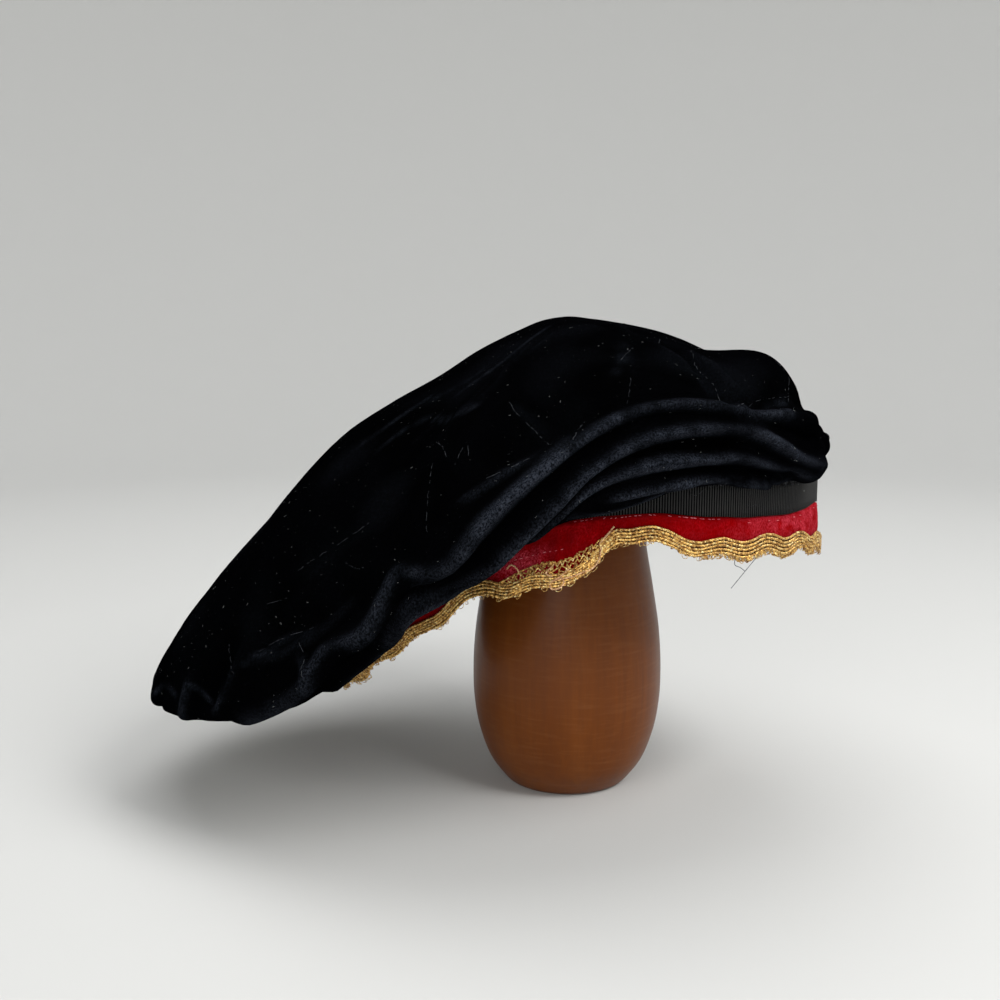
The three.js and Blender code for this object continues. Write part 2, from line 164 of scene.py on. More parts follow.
HEM_STATIONS = (
    HemStation(0, 1.6, 7),
    HemStation(32, 1.6, 7),
    HemStation(42, 0.9, 7),
    HemStation(56, 0.9, 7),
    HemStation(66, 1.6, 7),
    HemStation(110, 1.6, 7),
    HemStation(117, 0.8, 5.6),
    HemStation(123, 0.2, 4.6),
    HemStation(128, 0.4, 4.4),
    HemStation(132, 1.3, 5.4),
    HemStation(137, 2.4, 6.6),
    HemStation(143, 3.2, 7),
    HemStation(180, 3.2, 7),
)

CROWN_SECTIONS = (
    CrownSection(0, 99.8, 132, 101, 139, 1.42),
    CrownSection(20, 97.5, 135, 100.5, 144.5, 1.5),
    CrownSection(40, 94.5, 135.2, 99.5, 150, 1.64),
    CrownSection(60, 91, 133.6, 100, 156, 1.8),
    CrownSection(75, 90, 131.5, 101, 160, 1.86),
    CrownSection(90, 92, 127, 105, 153.5, 1.86),
    CrownSection(98, 94.5, 121.5, 110, 142, 1.83),
    CrownSection(105, 97, 111.5, 114, 128, 1.78),
    CrownSection(115, 98.5, 95, 120, 110, 1.68),
    CrownSection(125, 101, 79, 126, 87, 1.59),
    CrownSection(135, 107, 62, 134, 65, 1.5),
    CrownSection(150, 119, 43.5, 150, 50.5, 1.41),
    CrownSection(165, 130, 38.5, 163, 44, 1.35),
    CrownSection(180, 134, 38, 168, 39, 1.32),
)

# The rolls and creases that the solids have too
MAIN_FOLDS = (
    Fold(4, 6.2, 14, ((22, 0.45), (38, 0.49), (52, 0.46), (72, 0.46), (90, 0.43), (104, 0.43),
                      (112, 0.39), (117, 0.45), (120, 0.48), (124, 0.42), (131, 0.46),
                      (136, 0.39), (148, 0.38))),
    Fold(4.2, 6, 12, ((22, 0.28), (38, 0.31), (54, 0.4), (72, 0.39), (85, 0.37), (94, 0.34),
                      (104, 0.29), (112, 0.25), (116, 0.31), (119, 0.34), (123, 0.27),
                      (130, 0.27), (138, 0.22))),
    Fold(3.4, 5, 12, ((26, 0.2), (40, 0.27), (56, 0.33), (72, 0.32), (86, 0.32), (95, 0.29),
                      (103, 0.22))),
    Fold(3.2, 4.8, 12, ((30, 0.12), (48, 0.2), (62, 0.26), (78, 0.26), (90, 0.27))),
    Fold(-5, 9, 12, ((57, 0.88), (57, 0.76), (56, 0.68), (60, 0.58), (58, 0.49))),
    Fold(-3.5, 7, 10, ((58, 0.49), (46, 0.53), (34, 0.56), (22, 0.54), (8, 0.5))),
    Fold(-4, 6, 8, ((166, 0.47), (164, 0.42), (166, 0.34))),
    Fold(3, 6.2, 16, ((-34, 0.44), (-60, 0.45), (-88, 0.42), (-108, 0.41), (-126, 0.43),
                      (-142, 0.38))),
    Fold(3.2, 6, 14, ((-30, 0.28), (-56, 0.37), (-84, 0.34), (-104, 0.29), (-122, 0.3),
                      (-134, 0.24))),
    Fold(2.8, 5, 12, ((-40, 0.2), (-60, 0.28), (-80, 0.26), (-96, 0.24))),
)

SWELLINGS = (
    Swelling(8.8, 27, 27, 0.65),
    Swelling(4, 56, 180, 0.74),
    Swelling(1.8, 36, 175, 0.88),
)

# Finer valleys and creases, left to the cloth's surface
FINE_FOLDS = (
    Fold(-2.9, 3.5, 10, ((26, 0.385), (44, 0.415), (62, 0.432), (80, 0.42), (96, 0.387),
                         (106, 0.357), (113, 0.33), (118, 0.4), (123, 0.35), (131, 0.36))),
    Fold(-2.2, 2.8, 9, ((30, 0.25), (47, 0.32), (62, 0.365), (78, 0.355), (90, 0.33),
                        (100, 0.27), (108, 0.24))),
    Fold(-1.8, 2.4, 8, ((32, 0.17), (50, 0.25), (64, 0.295), (80, 0.29), (92, 0.28))),
    Fold(1.5, 2.6, 9, ((28, 0.455), (40, 0.48), (54, 0.452), (72, 0.45), (90, 0.424), (104, 0.428),
                       (112, 0.392), (117, 0.452))),
    Fold(1.5, 2.5, 9, ((26, 0.3), (38, 0.325), (54, 0.405), (72, 0.395), (85, 0.375), (94, 0.345),
                       (104, 0.295), (112, 0.255))),
    Fold(1.2, 2.2, 7, ((30, 0.22), (42, 0.288), (50, 0.308), (58, 0.34), (66, 0.332), (76, 0.336),
                       (88, 0.32))),
    Fold(1.4, 2.2, 4, ((44, 0.22), (48, 0.25), (50, 0.215), (55, 0.25), (58, 0.22))),
    Fold(-1.6, 1.9, 4, ((40, 0.235), (45, 0.27), (49, 0.24), (53, 0.275), (58, 0.25), (62, 0.275))),
    Fold(1.2, 2.0, 4, ((33, 0.16), (38, 0.2), (42, 0.17), (47, 0.2))),
    Fold(3.0, 3.6, 8, ((62, 0.1), (70, 0.1), (78, 0.1), (86, 0.1), (94, 0.1))),
    Fold(-1.1, 2.8, 9, ((40, 0.53), (58, 0.515), (76, 0.505), (94, 0.475), (108, 0.46))),
    Fold(1.1, 3.4, 8, ((106, 0.67), (100, 0.58), (96, 0.47))),
    Fold(-1.2, 2.8, 8, ((103, 0.66), (97.5, 0.57), (93.5, 0.48))),
    Fold(1.0, 3.0, 10, ((112, 0.51), (104, 0.5), (98, 0.47), (90, 0.46))),
    Fold(0.9, 2.6, 9, ((142, 0.58), (136, 0.6), (128, 0.6))),
    Fold(1.1, 3.2, 9, ((146, 0.5), (134, 0.5), (126, 0.51))),
    Fold(1.4, 3.2, 7, ((137, 0.5), (134, 0.45), (134, 0.4))),
    Fold(1.2, 2.6, 6, ((147, 0.55), (148, 0.46), (150, 0.4))),
    Fold(0.9, 2.8, 9, ((136, 0.71), (130, 0.73), (116, 0.73), (110, 0.85))),
    Fold(1.5, 3.6, 9, ((53, 0.9), (52, 0.78), (51, 0.68), (54, 0.6), (53, 0.53))),
    Fold(1.4, 3.2, 9, ((62, 0.86), (62.5, 0.76), (61, 0.66), (64, 0.57), (62, 0.5))),
    Fold(1.2, 2.6, 7, ((33, 0.6), (30, 0.54), (27, 0.47))),
    Fold(-0.8, 2.2, 6, ((20, 0.45), (16, 0.36), (14, 0.24))),
    Fold(0.6, 2.4, 6, ((15, 0.47), (11, 0.38), (9, 0.26))),
    Fold(-0.5, 2.6, 6, ((6, 0.46), (4, 0.36), (3, 0.25))),
    Fold(1.5, 4, 8, ((157, 0.5), (156, 0.42), (158, 0.33))),
    Fold(-1.3, 3, 7, ((172, 0.5), (173, 0.42), (172, 0.34))),
    Fold(1.4, 3.6, 7, ((178, 0.48), (179, 0.42), (178, 0.34))),
    Fold(1.2, 4.5, 14, ((96, 0.88), (106, 0.8), (117, 0.76), (124, 0.66))),
    Fold(-1, 5, 16, ((84, 0.84), (92, 0.74), (96, 0.62), (92, 0.54))),
    Fold(1.1, 4, 12, ((74, 0.78), (78, 0.66), (80, 0.56))),
    Fold(1.2, 4.5, 14, ((-70, 0.8), (-90, 0.7), (-108, 0.62))),
    Fold(-1.2, 4.5, 14, ((-120, 0.74), (-132, 0.6), (-140, 0.5))),
    Fold(1.2, 4.5, 14, ((-150, 0.72), (-160, 0.58), (-164, 0.46))),
    Fold(1.2, 4, 12, ((-20, 0.7), (-28, 0.58), (-30, 0.48))),
    Fold(-2.8, 7, 8, ((46, 0.5), (38, 0.48), (31, 0.455), (23, 0.445), (14, 0.44))),
    Fold(1.0, 2.6, 6, ((95, 0.25), (90, 0.21), (86, 0.19), (82, 0.19), (78, 0.21), (73, 0.24),
                       (67, 0.26))),
)

# Faint painted sheen bands on the crown, with their strength in place of a height
SHEEN_BANDS = (
    Fold(0.34, 2.0, 8, ((136, 0.78), (125, 0.8), (119, 0.82), (115, 0.87), (113, 0.92))),
    Fold(0.26, 1.8, 7, ((148, 0.72), (144, 0.75), (135, 0.75), (121, 0.71), (114, 0.72))),
    Fold(0.16, 2.4, 9, ((150, 0.78), (143, 0.8), (136, 0.81), (130, 0.83))),
    Fold(0.28, 2.2, 6, ((158, 0.73), (154, 0.76), (150, 0.8))),
    Fold(0.42, 1.8, 4, ((168, 0.43), (166, 0.46), (162, 0.47), (158, 0.455))),
    Fold(0.30, 1.6, 4, ((158, 0.48), (153, 0.47), (149, 0.44))),
    Fold(0.30, 1.8, 5, ((147, 0.5), (139, 0.515), (132, 0.5))),
    Fold(0.30, 1.8, 5, ((112, 0.52), (105, 0.5), (99, 0.475))),
    Fold(0.22, 3.0, 8, ((84, 0.6), (80, 0.66), (77, 0.74))),
    Fold(0.24, 2.4, 7, ((47, 0.52), (40, 0.55), (31, 0.565))),
    Fold(0.36, 2.0, 6, ((104, 0.3), (107, 0.29), (110, 0.28), (113, 0.29), (116, 0.34), (118, 0.37),
                        (120, 0.35), (122, 0.32), (124, 0.26))),
    Fold(0.26, 1.7, 4, ((113, 0.34), (115, 0.38), (118, 0.43))),
)

# Thin painted highlights along creases on the crown, as (angle, share) points
CREASE_HIGHLIGHTS = (
    ((51, 0.72), (53, 0.69), (55, 0.64), (58, 0.57), (61, 0.49)),
    ((29, 0.64), (29.5, 0.6), (32, 0.57), (31, 0.52)),
    ((60, 0.47), (54, 0.51), (47, 0.55), (38, 0.57), (32, 0.57)),
    ((82, 0.65), (76, 0.7), (70, 0.74), (50, 0.79)),
    ((106, 0.67), (100, 0.57), (96, 0.48)),
    ((107, 0.52), (101, 0.49), (96, 0.47)),
    ((144, 0.6), (140, 0.61), (132, 0.62)),
    ((145, 0.51), (140, 0.52), (133, 0.51)),
    ((116, 0.51), (118, 0.58), (121, 0.65)),
    ((136, 0.5), (134, 0.46), (133, 0.42)),
    ((151, 0.53), (149, 0.51), (147, 0.49)),
    ((147, 0.57), (143, 0.57)),
    ((80, 0.59), (82, 0.5)),
    ((90, 0.49), (92, 0.45), (94, 0.43)),
    ((43, 0.5), (42, 0.47)),
    ((133, 0.58), (130, 0.56), (128, 0.55)),
    ((123, 0.68), (120, 0.66), (117, 0.63)),
    ((114, 0.6), (113, 0.63), (111, 0.59)),
)

# Loose threads, frayed ends and pale cords, as (angle, up, out) points of the band
LOOSE_THREADS = (
    ((50, -0.7, 2.0), (52.4, -3.2, 2.6), (55, -6.6, 2.8), (58, -11.4, 2.4)),
    ((57, -0.7, 2.2), (57.2, -3, 2.6), (55.6, -4.2, 2.4), (54, -5.8, 2)),
)
RIBBON_FRAYS = (
    ((53.6, 18.3, 1.4), (52.5, 17.2, 1.6), (51, 17.8, 1.4), (50, 17, 1.5)),
    ((39, 16.5, 1.4), (38, 15.2, 1.7), (36.5, 14.7, 1.5)),
    ((69, 23.3, 1.5), (68.5, 21.5, 1.8), (67, 21.4, 1.5), (65.5, 23.7, 1.6)),
    ((43, 22.8, 1.4), (42.4, 20.4, 1.6)),
    ((63, 26.2, 1.6), (62.5, 27.6, 2), (61.5, 26.2, 1.6)),
)
ROSE_CORDS = (
    ((88, 4.4, 2.5), (88.3, 3.2, 3), (88.5, 1, 3.1), (89.2, -0.4, 3.1), (90.4, -1.1, 3), (92, -1.1, 3),
     (94, -1.4, 3), (96, -1.1, 3), (97.6, -0.8, 2.8), (99, -1, 2.4)),
    ((98.6, -1.4, 2.8), (98.2, -3.2, 3), (96.6, -3.6, 3), (95.8, -2.2, 3), (96.4, -0.6, 2.8)),
    ((98.5, -1.3, 2.6), (97.5, -0.6, 3.2), (96.5, -0.2, 3), (95.6, 0.6, 2.8), (94.6, 1.4, 2.4)),
    ((97.6, 4.2, 2.4), (99.2, 2.3, 3), (98, 0.5, 2.8)),
    ((88.6, 5.2, 2.4), (87.4, 6.1, 2.9), (86.4, 6.8, 3.2), (85.6, 7.6, 3.2)),
    ((107, 6.6, 2.4), (106, 7.8, 3), (105, 6.4, 2.8), (104.6, 4.8, 2.4)),
)


def smooth_step(value: Array) -> Array:
    """A rise from 0 to 1 that starts and ends level."""
    held = np.clip(value, 0, 1)
    return held * held * (3 - 2 * held)


def rising(value: Array, start: float, span: float) -> Array:
    """A smooth rise from 0 at the start to 1 a span further on."""
    return smooth_step((value - start) / span)


def falling(value: Array, start: float, span: float) -> Array:
    """A smooth fall from 1 at the start to 0 a span further on."""
    return 1 - rising(value, start, span)


def blended(s: Array, start: Array, slope: Array, end: Array, end_slope: Array) -> Array:
    """A cubic curve's value.

    Args:
        s: How far along the curve, from 0 to 1.
        start: The value at 0.
        slope: The slope at 0.
        end: The value at 1.
        end_slope: The slope at 1.

    Returns:
        The value at s.
    """
    return ((1 + 2 * s) * (1 - s) ** 2 * start + s * (1 - s) ** 2 * slope
            + s * s * (3 - 2 * s) * end + s * s * (s - 1) * end_slope)


def smooth_route(route: Sequence[tuple[float, ...]], steps: int) -> Array:
    """Evenly parted points of a smooth curve.

    Args:
        route: The points that the curve runs through.
        steps: How many steps the curve is cut into.

    Returns:
        The curve's points.
    """
    route = np.array(route, float)
    spots = []
    for t in np.linspace(0, len(route) - 1, steps + 1):
        i = min(int(t), len(route) - 2)
        before, after = route[max(i - 1, 0)], route[min(i + 2, len(route) - 1)]
        start, end = route[i], route[i + 1]
        spots.append(blended(t - i, start, (end - before) / 2, end, (after - start) / 2))
    return np.array(spots)


def unit(vectors: Array) -> Array:
    """The vectors at length 1."""
    return vectors / np.maximum(np.linalg.norm(vectors, axis=-1, keepdims=True), 1e-12)


def rough(points: Array, size: float) -> Array:
    """Smooth noise from -1 to 1 at points.

    Args:
        points: The points, in millimetres.
        size: About how large the noise's features are, in millimetres.

    Returns:
        One value for each point.
    """
    flat = points.reshape(-1, 3) / size
    return np.array([noise.noise(Vector(p)) for p in flat]).reshape(points.shape[:-1])


@dataclass(frozen=True)
class Wrinkles:
    """Smooth noise of one height, feature size and shift, all in millimetres."""

    height: float
    size: float
    shift: float = 0.0

    def at(self, points: Array) -> Array:
        """The noise's height at each point."""
        return self.height * rough(points + self.shift, self.size)


class Column:
    """A column of a table as a smooth function of the angle, the same on both sides."""

    def __init__(self, rows: Sequence[object], name: str, blend: float = 0.0) -> None:
        """Keeps the column's values, with slopes that keep the curve from overshooting.

        Args:
            rows: The table, by rising angle.
            name: The column's name.
            blend: Degrees over which the values are averaged.
        """
        self.angles = np.array([row.angle for row in rows], float)
        self.values = np.array([getattr(row, name) for row in rows], float)
        self.blend = blend
        step = np.diff(self.angles)
        slope = np.diff(self.values) / step
        self.slopes = np.zeros(len(rows))
        for i in range(1, len(rows) - 1):
            if slope[i - 1] * slope[i] > 0:
                w1, w2 = step[i - 1] + 2 * step[i], 2 * step[i - 1] + step[i]
                self.slopes[i] = (w1 + w2) / (w2 / slope[i - 1] + w1 / slope[i])

    def plain(self, angle: Array) -> Array:
        """The column without averaging.

        Args:
            angle: The angles.

        Returns:
            The value at each angle.
        """
        turned = np.mod(angle, 360.0)
        folded = np.where(turned > 180, 360 - turned, turned)
        i = np.clip(np.searchsorted(self.angles, folded, side="right"), 1, len(self.angles) - 1)
        span = self.angles[i] - self.angles[i - 1]
        return blended((folded - self.angles[i - 1]) / span, self.values[i - 1],
                       self.slopes[i - 1] * span, self.values[i], self.slopes[i] * span)

    def __call__(self, angle: Array) -> Array:
        """The column, averaged over its blend.

        Args:
            angle: The angles.

        Returns:
            The value at each angle.
        """
        angle = np.asarray(angle, float)
        if self.blend == 0:
            return self.plain(angle)
        beside = self.plain(angle - self.blend) + self.plain(angle + self.blend)
        return (beside + 2 * self.plain(angle)) / 4


def column(rows: Sequence[object], name: str, blend: float = 0.0) -> Column:
    """A dataclass field that holds a table's column."""
    return field(default_factory=lambda: Column(rows, name, blend))


@dataclass
class OpeningEdge:
    """The head opening: an oval that dips and leans over at its hanging end."""

    centre_x: float = 4.5
    half_length: float = 92.5
    half_width: float = 77.0
    lean_starts_x: float = 15.0
    lean_ends_x: float = -90.0
    lean_angle: float = 38.0
    flare_height: float = 14.0
    flare_power: float = 1.5
    loose_angle: float = 98.5
    loose_span: float = 14.0
    measured_up: float = 4.0
    lower: Column = column(BAND_STATIONS, "lower")
    ribbon_from: Column = column(BAND_STATIONS, "ribbon_from")
    ribbon_to: Column = column(BAND_STATIONS, "ribbon_to")
    flare: Column = column(BAND_STATIONS, "flare")
    rise: Column = column(HEM_STATIONS, "rise")
    braid_top: Column = column(HEM_STATIONS, "braid_top")

    def directions(self, angle: Array) -> tuple[Array, Array, Array]:
        """Where the band runs and how it stands.

        Args:
            angle: The angles.

        Returns:
            The band's lower edge, its rise and its outward direction at each angle.
        """
        turn = np.radians(np.asarray(angle, float))
        edge = np.stack([
            self.centre_x + self.half_length * np.cos(turn),
            -self.half_width * np.sin(turn),
            self.lower(angle),
        ], -1)
        leaning = smooth_step((self.lean_starts_x - edge[..., 0])
                              / (self.lean_starts_x - self.lean_ends_x))
        lean = np.radians(self.lean_angle) * leaning
        rise = np.stack([-np.sin(lean), np.zeros_like(lean), np.cos(lean)], -1)
        outward = unit(np.stack([
            self.half_width * np.cos(turn),
            -self.half_length * np.sin(turn),
            np.zeros_like(turn),
        ], -1))
        outward = unit(outward - rise * np.sum(outward * rise, -1, keepdims=True))
        return edge, rise, outward

    def point(self, angle: Array, up: Array, out: Array) -> Array:
        """Points of the band.

        Args:
            angle: Each point's angle.
            up: How far it is up from the band's lower edge.
            out: How far it is out from the ribbon's inner face.

        Returns:
            The points.
        """
        angle = np.asarray(angle, float)
        up, out = np.broadcast_to(up, angle.shape), np.broadcast_to(out, angle.shape)
        edge, rise, outward = self.directions(angle)
        share = np.maximum(1 - up / self.flare_height, 0) ** self.flare_power
        reach = out + self.flare(angle) * share
        return edge + rise * up[..., None] + outward * reach[..., None]

    def route(self, route: Sequence[Triple], steps: int) -> Array:
        """A smooth line through (angle, up, out) points of the band."""
        return self.point(*smooth_route(route, steps).T)

    def away(self, angle: Array) -> Array:
        """How far each angle is from the high end, from 0 to 180."""
        turned = np.mod(np.asarray(angle, float), 360)
        return np.minimum(turned, 360 - turned)

    def flared(self, angle: Array) -> Array:
        """How far each angle lies in the part where the edge hangs loose, from 0 to 1."""
        off = np.abs(np.mod(np.asarray(angle, float), 360) - self.loose_angle)
        return falling(off, self.loose_span / 2, self.loose_span / 2)

    def hem(self, angle: Array) -> Array:
        """The height of the red band's turned edge over the lower edge."""
        return self.rise(angle) * (1 - self.flared(angle))

    def along(self, angle: Array, up: Array) -> Array:
        """The band's direction of travel at each angle."""
        return unit(self.point(angle + 0.2, up, 0.0) - self.point(angle - 0.2, up, 0.0))

    def middle(self, angle: Array) -> Array:
        """The height over the lower edge at which the red band and the braid are measured."""
        return np.full_like(angle, self.measured_up)

    def even_angles(self, pitch: float, up: Callable[[Array], Array]) -> Array:
        """Angles that are the same length apart along the band.

        Args:
            pitch: The length between two angles, in millimetres.
            up: The height of the measured line over the lower edge, by angle.

        Returns:
            The angles, once round the cap.
        """
        fine = np.linspace(0, 360, 2881)
        line = self.point(fine, up(fine), 0.0)
        length = np.concatenate([[0], np.cumsum(np.linalg.norm(np.diff(line, axis=0), axis=1))])
        count = int(round(length[-1] / pitch))
        return np.interp(np.arange(count) * length[-1] / count, length, fine)


@dataclass
class CrownForm:
    """The crown's surface: smooth sections, then rolls, creases and swellings on them."""

    edge: OpeningEdge
    top_z: float = 186.8
    sag_share: float = 0.18
    rim_share: float = 0.42
    folds_from: float = 0.06
    seam_rise: float = 14.0
    seam_pull: float = 0.8
    sag_pull: float = 1.2
    rim_pull: float = 1.3
    rim_lift: float = 1.2
    least_rim_lift: float = 10.0
    stand_top_gap: float = 0.9
    dome_radius: float = 27.0
    settling: float = 1.0
    fold_steps: int = 36
    sag_reach: Column = column(CROWN_SECTIONS, "sag_reach", SECTION_BLEND)
    sag_z: Column = column(CROWN_SECTIONS, "sag_z", SECTION_BLEND)
    rim_reach: Column = column(CROWN_SECTIONS, "rim_reach", SECTION_BLEND)
    rim_z: Column = column(CROWN_SECTIONS, "rim_z", SECTION_BLEND)
    fullness: Column = column(CROWN_SECTIONS, "fullness", SECTION_BLEND)

    def __post_init__(self) -> None:
        """Lays each fold's middle line on the smooth crown."""
        self.lines = {}
        for fold in MAIN_FOLDS + FINE_FOLDS + SHEEN_BANDS:
            self.lines[fold] = self.smooth(*smooth_route(fold.route, self.fold_steps).T)

    def seam(self, angle: Array) -> Array:
        """The seam where the crown comes out from behind the ribbon's upper edge."""
        return self.edge.point(angle, self.edge.ribbon_to(angle), -CLOTH_GAP)

    def smooth(self, angle: Array, share: Array) -> Array:
        """The crown's outer surface without its folds: a sag, a rim and a top over the stand.

        Args:
            angle: Each point's angle.
            share: Each point's share.

        Returns:
            The points.
        """
        angle, share = np.broadcast_arrays(np.asarray(angle, float), np.asarray(share, float))
        seam = self.seam(angle)
        seam_reach = np.hypot(seam[..., 0], seam[..., 1])
        seam_angle = np.degrees(np.arctan2(-seam[..., 1], seam[..., 0]))
        sag, sag_z = self.sag_reach(angle), self.sag_z(angle)
        rim, rim_z = self.rim_reach(angle), self.rim_z(angle)
        s = np.clip(share / self.sag_share, 0, 1)
        gap = sag - seam_reach
        low_reach = blended(s, seam_reach, gap * self.seam_pull, sag, gap * self.sag_pull)
        low_z = blended(s, seam[..., 2], self.seam_rise, sag_z, 0)
        s = np.clip((share - self.sag_share) / (self.rim_share - self.sag_share), 0, 1)
        lift = np.abs(rim_z - sag_z) * self.rim_lift + self.least_rim_lift
        rim_reach = blended(s, sag, (rim - sag) * self.rim_pull, rim, 0)
        middle_z = blended(s, sag_z, 0, rim_z, lift)
        turn = np.clip((share - self.rim_share) / (1 - self.rim_share), 0, 1) * math.pi / 2
        power = 2 / self.fullness(angle)
        top_reach = rim * np.maximum(np.cos(turn), 0) ** power
        free = rim_z + (self.top_z - rim_z) * np.sin(turn) ** power
        stand_top = STAND_TOP_Z + self.stand_top_gap + VELVET_WALL
        resting = stand_top - top_reach ** 2 / (2 * self.dome_radius)
        top_z = (free + resting + np.hypot(free - resting, self.settling)) / 2
        low, middle = share < self.sag_share, share < self.rim_share
        reach = np.where(low, low_reach, np.where(middle, rim_reach, top_reach))
        z = np.where(low, low_z, np.where(middle, middle_z, top_z))
        drift = np.mod(angle - seam_angle + 180, 360) - 180
        phi = np.radians(seam_angle + drift * smooth_step(share / self.rim_share))
        return np.stack([reach * np.cos(phi), -reach * np.sin(phi), z], -1)

    def fold_profile(self, points: Array, fold: Fold) -> Array:
        """How strong a fold is at each point.

        Args:
            points: Points of the smooth crown.
            fold: The fold.

        Returns:
            One value from 0 to 1 for each point.
        """
        line = self.lines[fold]
        least = np.full(points.shape[:-1], 1e9)
        for start, end in zip(line[:-1], line[1:]):
            step = end - start
            t = np.clip(((points - start) @ step) / max(step @ step, 1e-9), 0, 1)
            least = np.minimum(least, np.linalg.norm(points - start - t[..., None] * step, axis=-1))
        to_end = np.minimum(np.linalg.norm(points - line[0], axis=-1),
                            np.linalg.norm(points - line[-1], axis=-1))
        round_top = np.cos(np.clip(least / fold.half_width, 0, 1) * math.pi / 2) ** 2
        return round_top * smooth_step(to_end / fold.fade)

    def fold_lift(self, points: Array, folds: Sequence[Fold]) -> Array:
        """How far folds lift the smooth crown.

        Args:
            points: Points of the smooth crown.
            folds: The folds.

        Returns:
            The lift of each point, in millimetres.
        """
        lift = np.zeros(points.shape[:-1])
        for fold in folds:
            lift += fold.height * self.fold_profile(points, fold)
        return lift

    def main_lift(self, points: Array) -> Array:
        """How far the main folds and swellings lift the smooth crown.

        Args:
            points: Points of the smooth crown.

        Returns:
            The lift of each point, in millimetres.
        """
        lift = self.fold_lift(points, MAIN_FOLDS)
        for bump in SWELLINGS:
            centre = self.smooth(bump.angle, bump.share)
            away = np.clip(np.linalg.norm(points - centre, axis=-1) / bump.radius, 0, 1)
            lift += bump.height * np.cos(away * math.pi / 2) ** 2
        return lift

    def outward(self, angle: Array, share: Array) -> Array:
        """The smooth crown's outward direction.

        Args:
            angle: Each point's angle.
            share: Each point's share.

        Returns:
            The directions, at length 1.
        """
        up = np.minimum(share + 0.004, 0.996)
        along = self.smooth(angle, up) - self.smooth(angle, np.maximum(share - 0.004, 0.0))
        around = self.smooth(angle + 0.5, share) - self.smooth(angle - 0.5, share)
        return unit(np.cross(along, around))


def mesh_object(name: str, points: Array, faces: Sequence[Sequence[int]] = (),
                edges: Sequence[tuple[int, int]] = ()) -> Piece:
    """A mesh object from points in millimetres.

    Args:
        name: The object's name.
        points: The vertices, in millimetres.
        faces: The faces, by vertex number.
        edges: Loose edges, by vertex number.

    Returns:
        The new object, linked and shaded smooth.
    """
    mesh = bpy.data.meshes.new(name)
    mesh.from_pydata((points * MM).tolist(), edges, faces)
    mesh.update()
    made = bpy.data.objects.new(name, mesh)
    bpy.context.scene.collection.objects.link(made)
    mesh.polygons.foreach_set("use_smooth", [True] * len(mesh.polygons))
    return made


def ring_faces(rings: int, count: int, closed: bool = False) -> list[tuple[int, ...]]:
    """Faces between rings of points, each ring closed.

    Args:
        rings: How many rings there are.
        count: Points in each ring.
        closed: Whether the last ring joins the first.

    Returns:
        The four-sided faces.
    """
    faces = []
    for i in range(rings if closed else rings - 1):
        j = (i + 1) % rings
        for k in range(count):
            n = (k + 1) % count
            faces.append((i * count + k, i * count + n, j * count + n, j * count + k))
    return faces


def line_mesh(name: str, lines: Sequence[Array], closed: bool = False) -> Piece:
    """Several lines of points as one mesh of edges.

    Args:
        name: The mesh's name.
        lines: The lines' points, in millimetres.
        closed: Whether each line runs back to its start.

    Returns:
        The mesh object.
    """
    points, edges = [], []
    for line in lines:
        first = len(points)
        points.extend(line)
        edges += [(first + i, first + i + 1) for i in range(len(line) - 1)]
        if closed:
            edges.append((first + len(line) - 1, first))
    return mesh_object(name, np.array(points), edges=edges)


def recalculate_normals(made: Piece) -> None:
    """Turns a closed mesh's faces outwards.

    Args:
        made: The mesh object.
    """
    work = bmesh.new()
    work.from_mesh(made.data)
    bmesh.ops.recalc_face_normals(work, faces=work.faces)
    work.to_mesh(made.data)
    work.free()


def closed_strip(name: str, rings: Sequence[Array], material: Material) -> Piece:
    """A closed band of cloth.

    Args:
        name: The band's name.
        rings: The lines that run round the cap, in order round the band's section.
        material: The band's material.

    Returns:
        The mesh object.
    """
    made = mesh_object(name, np.array(rings).reshape(-1, 3),
                       ring_faces(len(rings), len(rings[0]), closed=True))
    recalculate_normals(made)
    made.data.materials.append(material)
    return made


def joined(name: str, parts: Sequence[Piece]) -> Piece:
    """Joins objects into the first.

    Args:
        name: The joined object's name.
        parts: The objects.

    Returns:
        The joined object.
    """
    bpy.ops.object.select_all(action="DESELECT")
    for part in parts:
        part.select_set(True)
    bpy.context.view_layer.objects.active = parts[0]
    bpy.ops.object.join()
    parts[0].name = name
    parts[0].data.name = name
    return parts[0]


def store(made: Piece, name: str, values: Array) -> None:
    """Stores a number or a vector for each vertex as a named attribute.

    Args:
        made: The mesh object.
        name: The attribute's name.
        values: One number or vector for each vertex.
    """
    kind, key = ("FLOAT_VECTOR", "vector") if values.ndim == 2 else ("FLOAT", "value")
    attribute = made.data.attributes.new(name, kind, "POINT")
    attribute.data.foreach_set(key, values.astype(np.float32).ravel())


def place_piece(made: Piece, slot: Slot, *nodes: str) -> Piece:
    """Gives a finished piece its body, and hides the nodes that it stands for.

    Args:
        made: The piece.
        slot: Its material slot; not used.
        nodes: The nodes that it replaces.

    Returns:
        The piece.
    """
    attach(made, BODY)
    if nodes:
        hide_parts(*nodes)
    LOG.info("%s: %d faces", made.name, len(made.data.polygons))
    return made


